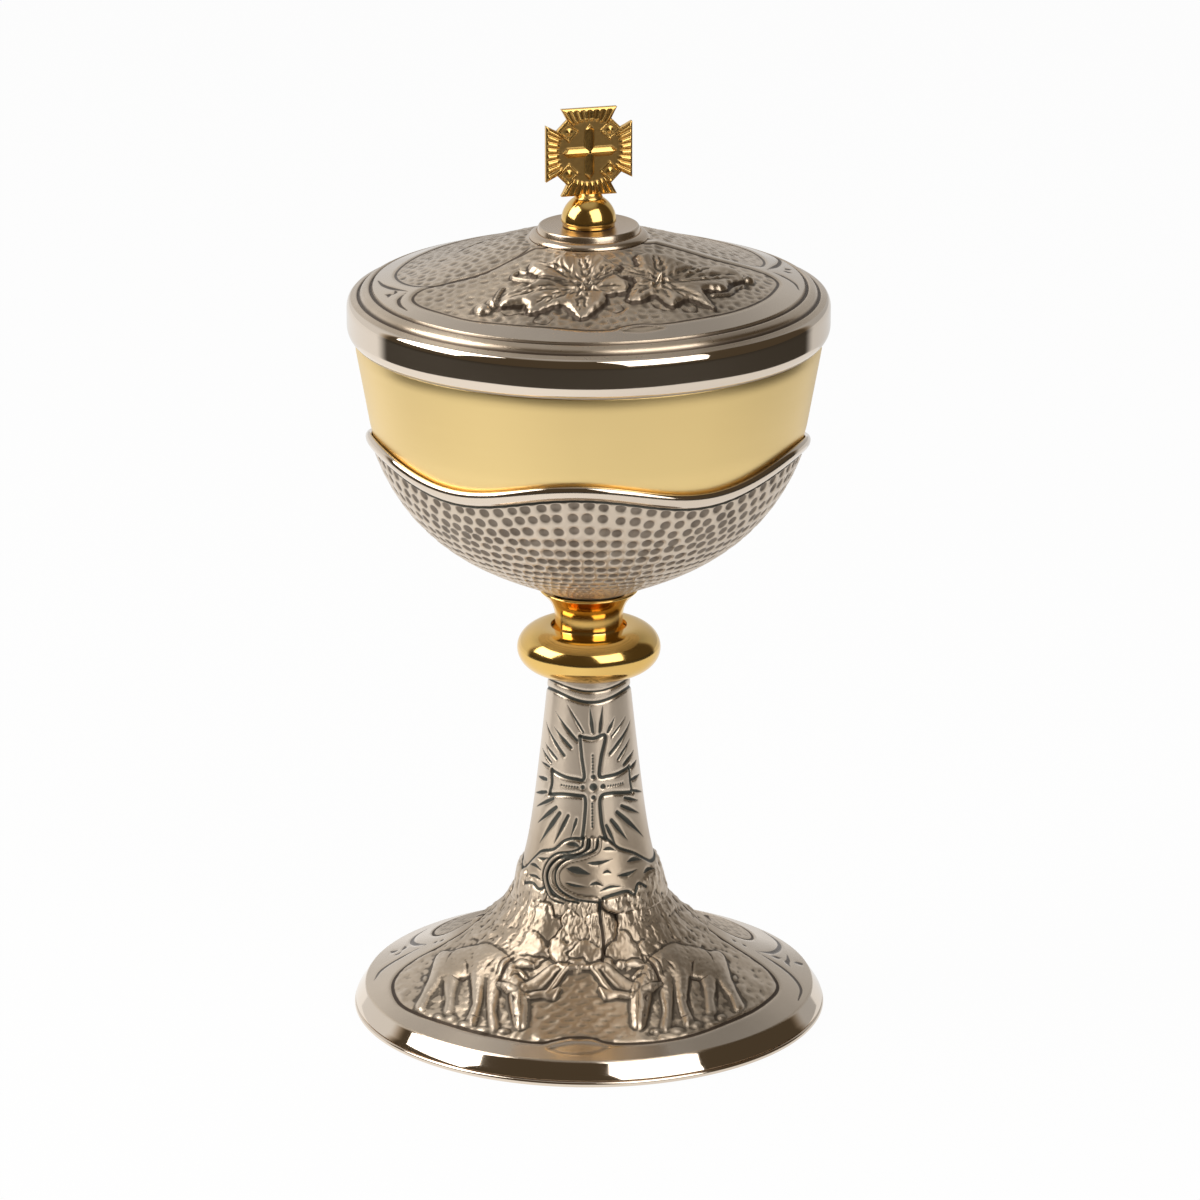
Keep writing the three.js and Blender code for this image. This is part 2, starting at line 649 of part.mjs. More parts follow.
// A ridge with a square end at the tip of an arm, which runs out towards the middle
function crossRay(index) {
  const tip = CROSS_SPAN / 2;
  const step = CROSS_ARM_WIDTH / CROSS_RAYS;
  const left = -CROSS_ARM_WIDTH / 2 + index * step;
  const surface = CROSS_PLATE / 2;
  const middle = left + step / 2;
  const inner = CROSS_RAY_START;
  return new ConvexGeometry([
    new THREE.Vector3(left, tip, surface),
    new THREE.Vector3(left + step, tip, surface),
    new THREE.Vector3(middle, tip, surface + CROSS_RAY_RISE),
    new THREE.Vector3(middle, tip, 0),
    new THREE.Vector3(middle * inner, tip * inner, surface),
    new THREE.Vector3(middle * inner, tip * inner, 0),
  ]);
}

// A bar with a roof-shaped top that ends in points
function roofBar(length, width, rise) {
  const surface = CROSS_PLATE / 2;
  const half = length / 2;
  const shoulder = half - width / 2;
  const spots = [new THREE.Vector3(0, 0, 0)];
  for (const end of [-1, 1]) {
    spots.push(new THREE.Vector3(0, end * half, surface));
    spots.push(new THREE.Vector3(0, end * shoulder, surface + rise));
    spots.push(new THREE.Vector3(width / 2, end * shoulder, surface));
    spots.push(new THREE.Vector3(-width / 2, end * shoulder, surface));
    spots.push(new THREE.Vector3(0, end * shoulder, 0));
  }
  return new ConvexGeometry(spots);
}

// A square pad with a pointed stud on it
function lozenge() {
  const surface = CROSS_PLATE / 2;
  const pad = new THREE.BoxGeometry(LOZENGE_SIZE, LOZENGE_SIZE, surface + LOZENGE_RISE);
  pad.translate(0, 0, (surface + LOZENGE_RISE) / 2);
  const stud = new THREE.ConeGeometry(LOZENGE_STUD_SIZE, LOZENGE_STUD_RISE + surface, 4);
  stud.rotateX(Math.PI / 2);
  stud.rotateZ(Math.PI / 4);
  stud.translate(0, 0, (LOZENGE_STUD_RISE + surface) / 2 + surface / 2);
  return [pad, stud];
}

// The raised work of one face, drawn flat
function crossRelief() {
  const pieces = [
    roofBar(SMALL_CROSS_LENGTH, SMALL_CROSS_WIDTH, SMALL_CROSS_RISE),
    roofBar(SMALL_CROSS_LENGTH, SMALL_CROSS_WIDTH, SMALL_CROSS_RISE).rotateZ(Math.PI / 2),
  ];
  for (let arm = 0; arm < 4; arm += 1) {
    const turn = arm * Math.PI / 2;
    for (let index = 0; index < CROSS_RAYS; index += 1) {
      pieces.push(crossRay(index).rotateZ(turn));
    }
    for (const piece of lozenge()) {
      pieces.push(piece.translate(0, LOZENGE_DISTANCE, 0).rotateZ(turn + Math.PI / 4));
    }
  }
  return pieces;
}

function finialCross() {
  const centre = ballTop + SEAT_GAP + PEDESTAL_HEIGHT / 2 + CROSS_SPAN / 2;
  const plate = extruded(crossOutline(), CROSS_PLATE);
  let body = toSolid(plate.translate(0, 0, -CROSS_PLATE / 2));
  for (const turn of [0, Math.PI]) {
    for (const piece of crossRelief()) {
      body = body.add(toSolid(piece.rotateY(turn)));
    }
  }
  const upright = toGeometry(body).rotateX(Math.PI / 2).translate(0, 0, centre);
  const pedestalProfile = [
    point(0, ballTop + SEAT_GAP - PEG_LENGTH),
    point(PEG_RADIUS, ballTop + SEAT_GAP - PEG_LENGTH),
    point(PEG_RADIUS, ballTop + SEAT_GAP),
    point(BALL_TOP_RADIUS, ballTop + SEAT_GAP),
    point(PEDESTAL_TOP_RADIUS, ballTop + SEAT_GAP + PEDESTAL_HEIGHT),
    point(0, ballTop + SEAT_GAP + PEDESTAL_HEIGHT),
  ];
  const pedestal = turned(pedestalProfile, THREAD_FACETS);
  return toGeometry(toSolid(upright).add(toSolid(pedestal)));
}

const finialWasherBase = lidTop - LID_WALL - SEAT_GAP - FINIAL_WASHER_HEIGHT;
const finialNutBase = finialWasherBase - SEAT_GAP - FINIAL_NUT_HEIGHT;

function finialWasher() {
  const top = finialWasherBase + FINIAL_WASHER_HEIGHT;
  const profile = [
    point(studHole, finialWasherBase),
    point(FINIAL_WASHER_RADIUS, finialWasherBase),
    point(FINIAL_WASHER_RADIUS, top),
    point(studHole, top),
  ];
  return turned(profile, NARROW_FACETS);
}

function finialStud() {
  return threadedBar(STUD_RADIUS, STUD_CHAMFER, finialNutBase - STUD_TAIL, ballBase + STUD_ENTRY);
}

function lowered(mesh, height) {
  mesh.position.z = height;
  return mesh;
}

const cup = new THREE.Group();
cup.add(named('foot_ring', footRing(), polishedSilver));
cup.add(named('foot_shell', footShell(), silver));
cup.add(named('knop', knop(), polishedGold));
cup.add(named('neck_collar', neckCollar(), polishedGold));
cup.add(named('calyx', calyx(), silver));
cup.add(named('cup_bowl', cupBowl(), satinGold));
cup.add(named('cup_boss', cupBoss(), antiqueGold));
cup.add(named('tie_rod', threadedBar(ROD_RADIUS, ROD_CHAMFER, tieRodFoot, tieRodTop), steel));
cup.add(named('foot_washer', footWasher(), steel));
cup.add(lowered(named('spring_washer', springWasher(), steel), springWasherBase));
const tieNut = hexNut(TIE_NUT_ACROSS_FLATS, TIE_NUT_HEIGHT, rodHole);
cup.add(lowered(named('tie_nut', tieNut, steel), tieNutBase));

const lid = new THREE.Group();
lid.rotation.z = LID_TURN;
lid.add(named('lid_shell', lidShell(), silver));
lid.add(named('lid_skirt', lidSkirt(), satinGold));
lid.add(named('lid_boss', lidBoss(), polishedSilver));
lid.add(named('finial_ball', finialBall(), polishedGold));
lid.add(named('finial_cross', finialCross(), antiqueGold));
lid.add(named('finial_stud', finialStud(), steel));
lid.add(named('finial_washer', finialWasher(), steel));
const finialNut = hexNut(FINIAL_NUT_ACROSS_FLATS, FINIAL_NUT_HEIGHT, studHole);
lid.add(lowered(named('finial_nut', finialNut, steel), finialNutBase));

const chalice = new THREE.Group();
chalice.add(cup, lid);

export default chalice;
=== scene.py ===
# %% [markdown]
# A lidded chalice in silver and gold, dressed for its picture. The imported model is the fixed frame: it
# says how large every piece is and where it stands. This script gives each piece its fine shape and its
# finish, and lights it as a small metal object is lit: two soft boxes over a pale table.

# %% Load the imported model
import json
import math

import bmesh
import bpy
import numpy as np
from mathutils import Matrix, Vector, kdtree
from mathutils import noise as mathutils_noise


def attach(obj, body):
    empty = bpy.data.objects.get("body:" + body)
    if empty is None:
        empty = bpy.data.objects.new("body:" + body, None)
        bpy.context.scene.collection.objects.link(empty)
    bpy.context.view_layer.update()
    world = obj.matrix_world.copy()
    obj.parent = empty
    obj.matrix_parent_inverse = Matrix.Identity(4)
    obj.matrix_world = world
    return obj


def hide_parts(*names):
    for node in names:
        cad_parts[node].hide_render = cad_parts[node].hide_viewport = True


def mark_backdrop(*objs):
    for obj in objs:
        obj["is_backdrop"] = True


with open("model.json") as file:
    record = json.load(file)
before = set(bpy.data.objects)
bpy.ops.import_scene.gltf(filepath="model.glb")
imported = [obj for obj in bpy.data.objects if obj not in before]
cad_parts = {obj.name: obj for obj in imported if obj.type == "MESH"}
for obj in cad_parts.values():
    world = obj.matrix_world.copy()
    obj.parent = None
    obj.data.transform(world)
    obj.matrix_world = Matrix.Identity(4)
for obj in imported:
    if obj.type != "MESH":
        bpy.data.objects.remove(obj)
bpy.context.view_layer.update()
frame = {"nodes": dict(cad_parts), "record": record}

MM = 0.001
nodes = frame["nodes"]
print("nodes in the frame:", len(nodes))

# %% [markdown]
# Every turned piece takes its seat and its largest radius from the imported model, so that it can't
# drift from its neighbours. Sizes here are in millimetres, as a silversmith would write them.

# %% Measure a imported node
def spots_of(piece):
    return np.array([v.co for v in piece.data.vertices]) / MM


def extent(node):
    spots = spots_of(nodes[node])
    radius = np.hypot(spots[:, 0], spots[:, 1]).max()
    return float(radius), float(spots[:, 2].min()), float(spots[:, 2].max())


FOOT_RADIUS, GROUND, FOOT_RING_TOP = extent("foot_ring")
BEVEL_RADIUS, BEVEL_FOOT, STEM_TOP = extent("foot_shell")
KNOP_RADIUS, KNOP_FOOT, KNOP_TOP = extent("knop")
COLLAR_RADIUS, COLLAR_FOOT, COLLAR_TOP = extent("neck_collar")
_, CALYX_FOOT, _ = extent("calyx")
CUP_RADIUS, _, CUP_MOUTH = extent("cup_bowl")
RIM_RADIUS, LID_FOOT, LID_TOP = extent("lid_shell")
SKIRT_RADIUS, SKIRT_FOOT, SKIRT_TOP = extent("lid_skirt")
_, DISC_FOOT, DISC_TOP = extent("lid_boss")
BALL_RADIUS, BALL_FOOT, BALL_TOP = extent("finial_ball")
print("foot", round(2 * FOOT_RADIUS, 1), "mm across, cup mouth at", round(CUP_MOUTH, 1), "mm")

# %% [markdown]
# Almost everything on a chalice is turned or spun on a lathe: its shape is one profile swept round the
# axis. A profile is a row of (radius, height) pairs. Its curves are Bezier curves, given by a direction
# and a pull at each end, which is close to how one draws a cup by hand.

# %% Draw curves and arcs
def unit(way):
    way = np.array(way, float)
    return way / np.linalg.norm(way)


def curve(start, leaving, leaving_pull, end, arriving, arriving_pull, steps):
    start, end = np.array(start, float), np.array(end, float)
    first = start + unit(leaving) * leaving_pull
    second = end - unit(arriving) * arriving_pull
    t = np.linspace(0, 1, steps + 1)[:, None]
    return start * (1 - t) ** 3 + 3 * first * t * (1 - t) ** 2 + 3 * second * t**2 * (1 - t) + end * t**3


def arc(centre, width, height, first, last, steps):
    angles = np.radians(np.linspace(first, last, steps + 1))
    return np.column_stack([centre[0] + width * np.cos(angles), centre[1] + height * np.sin(angles)])


def joined(*parts):
    path = np.vstack([np.atleast_2d(np.array(part, float)) for part in parts])
    far = np.hypot(*np.diff(path, axis=0).T) > 1e-6
    return path[np.append(True, far)]


# %% Follow a profile
def side_ways(path):
    along = np.gradient(path, axis=0)
    along /= np.linalg.norm(along, axis=1)[:, None]
    return np.column_stack([along[:, 1], -along[:, 0]])


def offset(path, distance):
    return path + side_ways(path) * distance


def lengths(path):
    return np.append(0, np.cumsum(np.hypot(*np.diff(path, axis=0).T)))


def at_lengths(path, stops):
    along = lengths(path)
    return np.column_stack([np.interp(stops, along, path[:, 0]), np.interp(stops, along, path[:, 1])])


def spaced(path, step):
    whole = lengths(path)[-1]
    return at_lengths(path, np.linspace(0, whole, max(2, int(round(whole / step)) + 1)))


def radius_at(path, height):
    return np.interp(height, path[:, 1], path[:, 0])


# %% [markdown]
# No corner on polished metal is perfectly sharp. A tiny round on each corner of a profile catches a
# thin line of light, and that line is most of what makes an edge look real.

# %% Round the corners of a profile
ON_AXIS = 1e-9
SMOOTH_TURN = 18
CORNER_STEPS = 3


def softened(path, radius):
    path = np.array(path, float)
    rounded = []
    for i, here in enumerate(path):
        before, after = here - path[i - 1], path[(i + 1) % len(path)] - here
        turn = math.atan2(before[0] * after[1] - before[1] * after[0], before @ after)
        if here[0] < ON_AXIS or abs(math.degrees(turn)) < SMOOTH_TURN:
            rounded.append(here)
            continue
        cut = min(radius, 0.4 * np.linalg.norm(before), 0.4 * np.linalg.norm(after))
        a, b = here - unit(before) * cut, here + unit(after) * cut
        for t in np.linspace(0, 1, CORNER_STEPS + 1):
            rounded.append(a * (1 - t) ** 2 + 2 * here * t * (1 - t) + b * t**2)
    return np.array(rounded)


# %% [markdown]
# A piece is spun from its profile by an eighth of a turn, and that sector is copied round three times,
# each time doubling it. The spin of a long profile by hundreds of steps would be slow in one go.

# %% Spin a profile into a piece
def finished(name, bm):
    mesh = bpy.data.meshes.new(name)
    bm.to_mesh(mesh)
    bm.free()
    mesh.shade_smooth()
    piece = bpy.data.objects.new(name, mesh)
    bpy.context.scene.collection.objects.link(piece)
    return piece


SECTORS = 8


def turned(name, profile, facets):
    bm = bmesh.new()
    spots = [bm.verts.new((r * MM, 0, z * MM)) for r, z in profile]
    on_axis = profile[0][0] < ON_AXIS and profile[-1][0] < ON_AXIS
    pairs = list(zip(spots, spots[1:])) + ([] if on_axis else [(spots[-1], spots[0])])
    edges = [bm.edges.new(pair) for pair in pairs]
    bmesh.ops.spin(bm, geom=spots + edges, cent=(0, 0, 0), axis=(0, 0, 1), angle=2 * math.pi / SECTORS,
                   steps=facets // SECTORS)
    for turn in (math.pi / 4, math.pi / 2, math.pi):
        copy = bmesh.ops.duplicate(bm, geom=bm.verts[:] + bm.edges[:] + bm.faces[:])["geom"]
        moved = [part for part in copy if isinstance(part, bmesh.types.BMVert)]
        bmesh.ops.rotate(bm, verts=moved, cent=(0, 0, 0), matrix=Matrix.Rotation(turn, 3, "Z"))
    bmesh.ops.remove_doubles(bm, verts=bm.verts, dist=1e-6)
    bmesh.ops.recalc_face_normals(bm, faces=bm.faces)
    piece = finished(name, bm)
    print(name, len(piece.data.polygons), "faces")
    return piece


# %% [markdown]
# Chasing is drawing with punches on sheet metal: lines are pushed in, figures stand out. Here the
# surface of a finely turned piece is laid flat, as (across, along) places in millimetres. Strokes
# are drawn on that flat sheet, and each point of the metal then moves out or in along its own normal.

# %% Draw a flowing line through points
OUTLINE_BLUR = 1.6


def flowing(points, closed=False, steps=6):
    points = np.array(points, float)
    if closed:
        padded = np.vstack([points[-1:], points, points[:2]])
    else:
        padded = np.vstack([2 * points[0] - points[1], points, 2 * points[-1] - points[-2]])
    t = np.linspace(0, 1, steps, endpoint=False)[:, None]
    runs = []
    for a, b, c, d in zip(padded, padded[1:], padded[2:], padded[3:]):
        bend = (2 * a - 5 * b + 4 * c - d) * t**2 + (3 * b - a - 3 * c + d) * t**3
        runs.append(0.5 * (2 * b + (c - a) * t + bend))
    return np.vstack(runs + [points[:1] if closed else points[-1:]])


def distance_to(spots, line):
    best = np.full(len(spots), np.inf)
    share = np.zeros(len(spots))
    for i, (a, b) in enumerate(zip(line, line[1:])):
        way = b - a
        t = np.clip(((spots - a) @ way) / (way @ way + 1e-12), 0, 1)
        far = np.hypot(*(spots - a - t[:, None] * way).T)
        closer = far < best
        best[closer] = far[closer]
        share[closer] = (i + t[closer]) / (len(line) - 1)
    return best, share


def inside(spots, outline):
    crossings = np.zeros(len(spots), int)
    x, y = spots.T
    for (ax, ay), (bx, by) in zip(outline, np.roll(outline, -1, axis=0)):
        spans = (ay > y) != (by > y)
        crossings += spans & (x < (bx - ax) * (y - ay) / (by - ay + 1e-12) + ax)
    return crossings % 2 == 1


def depth_in(spots, outline):
    outline = np.array(outline, float)
    far, _ = distance_to(spots, np.vstack([outline, outline[:1]]))
    return np.where(inside(spots, outline), far, -far)


def covered(spots, outline):
    return 0.5 + depth_in(spots, outline) / OUTLINE_BLUR


def faded(value, low, high):
    t = np.clip((value - low) / (high - low), 0, 1)
    return t * t * (3 - 2 * t)


def along_stroke(values, share):
    values = np.atleast_1d(np.array(values, float))
    return np.interp(share, np.linspace(0, 1, len(values)), values)


# %% [markdown]
# The sheet keeps for each point how far the metal stands out, how near an engraved line and the edge of a
# raised figure are, and how deep it lies in a hammer mark. Hollows and figure edges are later darkened,
# partly as patina and partly as painted shade. Figures are built like clay: strokes and lumps that melt
# together, then laid on the ground as one.

# %% The sheet that is chased
NO_CLAY = -9.0
FAR_AWAY = 9.0


class Sheet:
    def __init__(self, spots):
        self.spots = np.array(spots, float)
        self.height = np.zeros(len(spots))
        self.line = np.full(len(spots), FAR_AWAY)
        self.edge = np.full(len(spots), FAR_AWAY)
        self.pit = np.zeros(len(spots))
        self.clay = np.full(len(spots), NO_CLAY)

    def within(self, line, reach):
        low, high = line.min(axis=0) - reach, line.max(axis=0) + reach
        return np.flatnonzero(np.all((self.spots > low) & (self.spots < high), axis=1))

    def engrave(self, points, width, depth=0.3, closed=False, straight=False, mark=1.0):
        line = np.array(points, float) if straight else flowing(points, closed)
        near = self.within(line, 1.5 * np.max(width) + 1)
        far, share = distance_to(self.spots[near], line)
        half = along_stroke(width, share) / 2
        taper = np.clip(half / (0.5 * np.max(width)), 0, 1)
        self.height[near] -= depth * taper * np.exp(-((far / half) ** 2))
        if mark:
            self.line[near] = np.minimum(self.line[near], far - half * mark)

    def punch(self, place, size, depth):
        spot = np.array([place], float)
        self.engrave(np.vstack([spot, spot + 0.01]), size, depth, straight=True)

    def stroke(self, points, width, rise, roundness=0.7):
        line = flowing(points)
        near = self.within(line, 1.2 * np.max(width))
        far, share = distance_to(self.spots[near], line)
        q = 1 - (far / (along_stroke(width, share) / 2)) ** 2
        self.melt(near, along_stroke(rise, share) * np.sign(q) * np.abs(q) ** roundness)

    def lump(self, centre, halves, turn, rise, roundness=0.7):
        near = self.within(np.array([centre]), 1.5 * max(halves))
        x, y = (self.spots[near] - centre).T
        c, s = math.cos(math.radians(turn)), math.sin(math.radians(turn))
        q = 1 - ((x * c + y * s) / halves[0]) ** 2 - ((y * c - x * s) / halves[1]) ** 2
        self.melt(near, rise * np.sign(q) * np.abs(q) ** roundness)

    def melt(self, near, rise, blend=0.3):
        clay = self.clay[near]
        overlap = np.clip(blend - np.abs(clay - rise), 0, None) / blend
        self.clay[near] = np.maximum(clay, rise) + overlap**2 * blend / 4

    def lay(self, base=0.0, kept=0.0):
        share = faded(self.clay, -0.02, 0.22)
        ground = self.height
        self.height = ground * (1 - share) + share * (base + kept * ground + np.maximum(self.clay, 0))
        # distance to a figure's outline, later drawn as a dark outline of patina and painted shade
        self.edge = np.minimum(self.edge, np.abs(self.clay - 0.02))
        self.line = np.where(self.clay > 0.05, FAR_AWAY, self.line)
        self.pit *= 1 - share
        self.clay[:] = NO_CLAY


# %% [markdown]
# Rocks and hammer marks are cells: each point of the metal belongs to its nearest centre, and lies some
# distance from the border to the next cell. A seeded generator scatters the centres, so that every run
# gives the same rocks.

# %% Find the nearest centres
def tree_of(centres):
    tree = kdtree.KDTree(len(centres))
    for i, centre in enumerate(centres):
        tree.insert(Vector(centre), i)
    tree.balance()
    return tree


def cells(places, centres):
    tree = tree_of(centres)
    owner = np.zeros(len(places), int)
    first = np.zeros(len(places))
    second = np.zeros(len(places))
    for i, place in enumerate(places):
        near, next_near = tree.find_n(place, 2)
        owner[i], first[i], second[i] = near[1], near[2], next_near[2]
    return owner, first, second


# %% [markdown]
# The front of the object is the side that is looked at closely, so the columns of points are drawn
# together there. A height then moves each point along its own normal, and what was drawn is kept on the
# points as plain numbers for the metals to read.

# %% Move the metal
def tighten(piece, pull):
    spots = np.array([v.co for v in piece.data.vertices])
    angle = np.arctan2(spots[:, 0], -spots[:, 1])
    closer = angle - pull * np.sin(angle)
    radius = np.hypot(spots[:, 0], spots[:, 1])
    spots[:, 0], spots[:, 1] = radius * np.sin(closer), -radius * np.cos(closer)
    piece.data.vertices.foreach_set("co", spots.ravel())
    return spots / MM, closer, radius / MM


def keep(piece, name, values):
    layer = piece.data.attributes.new(name, "FLOAT", "POINT")
    layer.data.foreach_set("value", np.ascontiguousarray(values, np.float32))


def blurred(piece, values, rounds):
    edges = np.empty(2 * len(piece.data.edges), np.int32)
    piece.data.edges.foreach_get("vertices", edges)
    a, b = edges.reshape(-1, 2).T
    count = np.bincount(a, minlength=len(values)) + np.bincount(b, minlength=len(values))
    for _ in range(rounds):
        total = np.bincount(a, values[b], len(values)) + np.bincount(b, values[a], len(values))
        values = (values + total) / (1 + count)
    return values


def push(piece, spots, outward, height):
    moved = (spots + outward * height[:, None]) * MM
    piece.data.vertices.foreach_set("co", moved.ravel())
    piece.data.update()


def outward_of(angle, ways):
    return np.column_stack([ways[:, 0] * np.sin(angle), -ways[:, 0] * np.cos(angle), ways[:, 1]])


# %% [markdown]
# Foot ring: a half-round wire soldered under the edge of the foot, the part that touches the table.
# A plain turned ring with a round outer edge is all it needs.

# %% Turn the foot ring
RING_WIDTH = 4.0
RING_FACETS = 256


def foot_ring():
    bead = (FOOT_RING_TOP - GROUND) / 2
    inner = FOOT_RADIUS - RING_WIDTH
    round_edge = arc((FOOT_RADIUS - bead, GROUND + bead), bead, bead, -90, 90, 16)
    profile = joined((inner, GROUND), round_edge, (inner, FOOT_RING_TOP))
    return turned("foot_ring_wire", softened(profile, 0.1), RING_FACETS)


# %% [markdown]
# Foot and stem are one raised trumpet of sheet metal. It is made here as two closed pieces that meet in
# the rocks, because each then has enough points for its chased picture. Both follow one line, measured
# along the metal from the top of the foot's bevel, and the rocks run on from one to the other.

# %% Draw the line of foot and stem
BEVEL_TOP = (BEVEL_RADIUS - 2.75, BEVEL_FOOT + 4.15)
WAIST = (17.1, 38.0)
STEM_TOP_RADIUS = 10.1
FLARE_WAY, WAIST_WAY, STEM_TOP_WAY = (-2.34, 1), (-0.27, 1), (-0.104, 1)
FLARE_PULL, WAIST_PULL_BELOW, WAIST_PULL_ABOVE, STEM_TOP_PULL = 37, 13.2, 7.6, 40
LINE_STEPS = 160
FOOT_WALL = 1.3
ROD_HOLE = 3.3
JOIN = 45.0


def foot_line():
    flare = curve(BEVEL_TOP, FLARE_WAY, FLARE_PULL, WAIST, WAIST_WAY, WAIST_PULL_BELOW, LINE_STEPS)
    stem_top = (STEM_TOP_RADIUS, STEM_TOP)
    stem = curve(WAIST, WAIST_WAY, WAIST_PULL_ABOVE, stem_top, STEM_TOP_WAY, STEM_TOP_PULL, LINE_STEPS)
    return joined(flare, stem)


TRUMPET = spaced(foot_line(), 0.1)
ALONG = lengths(TRUMPET)
print("from bevel to stem top", round(ALONG[-1], 1), "mm along the metal")


def stretch(first, last, step):
    return at_lengths(TRUMPET, np.linspace(first, last, int(round((last - first) / step)) + 1))


def trumpet_radius(along):
    return np.interp(along, ALONG, TRUMPET[:, 0])


# %% [markdown]
# The picture's lines are written as points. On the stem a point is (degrees round, millimetres along
# the metal); on the foot it is (x, y) seen from above, with the front at the bottom.

# %% Lay a place on the stem flat
def on_stem(points):
    degrees, along = np.array(points, float).T
    return np.column_stack([np.radians(degrees) * trumpet_radius(along), along])


# %% The cross on the stem
CROSS_OUTLINES = [
    [(-11.5, 91.4), (5, 90.9), (21, 91.4), (15, 86), (12.5, 81.2), (22, 80.9), (35, 81.1), (55, 82)],
    [(55, 82), (54, 78.5), (55.5, 75.2)],
    [(55.5, 75.2), (40, 75.9), (25, 76.4), (13, 75.6), (13, 70), (15, 67), (17.5, 64.8)],
    [(-11.5, 91.4), (-8.5, 86), (-5.5, 80.6), (-15, 80.3), (-30, 80.6), (-48.5, 81.5)],
    [(-48.5, 81.5), (-46, 78.2), (-49, 75)],
    [(-49, 75), (-30, 76), (-12, 76.1), (-4, 75.4), (-4.5, 70), (-6.5, 65.2)],
]
CROSS_BEADS = [((5, 78.4), 1.0), ((-7, 78.3), 0.6), ((16, 78.4), 0.7), ((5, 81), 0.65), ((5, 75.7), 0.6)]


def chase_cross(sheet):
    for outline in CROSS_OUTLINES:
        sheet.engrave(on_stem(outline), 0.95, 0.42)
    for place, size in CROSS_BEADS:
        sheet.punch(on_stem([place])[0], 2 * size, 0.4)
    rows = [((4.5, s), 0.42) for s in np.arange(82.3, 87.3, 0.85)]
    rows += [((3.5, s), 0.42) for s in np.arange(68.2, 74.2, 0.85)]
    rows += [((a, 78.3), 0.36) for a in np.arange(-32, -12, 3.2)]
    rows += [((a, 78.4), 0.36) for a in np.arange(22, 43, 3.2)]
    for place, size in rows:
        sheet.punch(on_stem([place])[0], 1.6 * size, 0.2)


# %% The rays round the cross
RAYS = [
    ((-7, 92.5), (-30, 99.2), 0.7), ((5, 92.5), (1, 99.2), 1.0), ((14, 92.5), (19, 99.2), 0.9),
    ((25, 92.3), (36, 95.8), 1.0), ((30, 91), (55, 95), 0.6), ((27, 86.7), (67, 93.5), 1.2),
    ((37, 84.8), (60, 89), 0.9), ((45, 83), (67, 85.5), 1.1), ((57, 81.5), (74, 82.5), 0.9),
    ((57, 78.4), (78, 78.3), 1.0), ((57, 75.5), (79, 73.5), 0.8), ((42, 74.5), (65, 72.3), 0.9),
    ((37, 72.7), (64, 69), 1.0), ((31, 71.3), (66, 62.4), 1.3), ((24, 69.5), (41, 63.4), 1.2),
    ((18, 68.3), (27, 62.8), 1.0), ((-15, 90.3), (-50, 96.8), 0.9), ((-22, 88.3), (-51, 92.8), 1.0),
    ((-31, 86), (-72, 93), 1.1), ((-42, 84.7), (-66, 87.5), 1.0), ((-50, 83.3), (-76, 85.7), 0.8),
    ((-53, 82), (-74, 82.2), 0.7), ((-56, 78.5), (-78, 77.8), 1.1), ((-54, 75.3), (-80, 73.2), 1.0),
    ((-42, 74.3), (-71, 70.2), 1.0), ((-37, 72.3), (-63, 66.5), 1.2), ((-32, 71), (-55, 61.8), 1.3),
    ((-22, 70.7), (-36, 62.8), 1.1), ((-13, 70), (-18, 65.3), 0.9),
]


def chase_rays(sheet):
    for thick_end, thin_end, width in RAYS:
        widths = (0.8 * width, width, 0.6 * width, 0.15)
        sheet.engrave(on_stem([thick_end, thin_end]), widths, 0.38, straight=True)


# %% The hill and its stream
HILL_EDGES = [
    [(-75, 53.2), (-70, 54), (-60, 57.3), (-50, 60), (-35, 61.5), (-25, 64), (-15, 65), (-4, 65)],
    [(12, 65.3), (20, 64.4), (30, 62), (45, 60), (60, 57.2), (70, 55.6), (85, 55.3), (110, 56), (140, 54.6)],
    [(140, 54.6), (165, 55.6), (190, 55.2)],
    [(-75, 53.2), (-95, 55.4), (-120, 54.4), (-150, 56), (-190, 54.9)],
    [(9, 49.5), (20, 50.6), (32, 50.9), (38, 49.6), (44, 52), (52, 50.5)],
    [(-62, 50.5), (-52, 51.5), (-44, 50.6), (-38, 51.5)],
]
STREAM_EDGES = [
    [(-3, 65), (-5, 62.6), (-15, 61.1), (-30, 60), (-38, 57.5), (-40, 54.5), (-36, 51.6), (-30, 49.5),
     (-20, 48.9)],
    [(3, 64.8), (1.5, 62.4), (-8, 60.7), (-24, 59.6), (-33, 57), (-34.5, 54.3), (-30, 51.8), (-20, 50),
     (-8, 49.4)],
    [(11, 64.8), (8, 62), (-5, 60.3), (-20, 58.8), (-27, 56.5), (-27, 54), (-22, 52), (-10, 50.3),
     (3, 49.7), (9, 49.4)],
]
HILL_HOLLOWS = [
    ((-20, 57.2), (-10, 57), (2, 56), 2.0), ((0, 53.2), (6, 53.8), (12, 53), 0.9),
    ((13, 62.2), (19, 62.4), (26, 61.6), 1.0), ((-2, 59), (8, 58.9), (22, 59.6), 1.1),
    ((36, 58.2), (44, 58.4), (54, 57.4), 1.2), ((25, 55.2), (35, 55.1), (46, 55.6), 1.1),
    ((12, 56.2), (16, 56.6), (20, 56), 0.8), ((-20, 53.6), (-12, 53.1), (0, 52.9), 0.8),
    ((-62, 55.6), (-54, 56), (-44, 55.3), 0.9), ((-52, 58.2), (-46, 58.3), (-38, 59.2), 0.8),
    ((-22, 63.4), (-14, 63.6), (-8, 63), 1.3), ((-60, 53), (-50, 53.4), (-42, 52.8), 0.7),
    ((52, 54), (60, 54.4), (70, 53.6), 1.0), ((8, 51.6), (18, 52.6), (30, 52.2), 0.7),
]
STREAM_BANK = 0.62


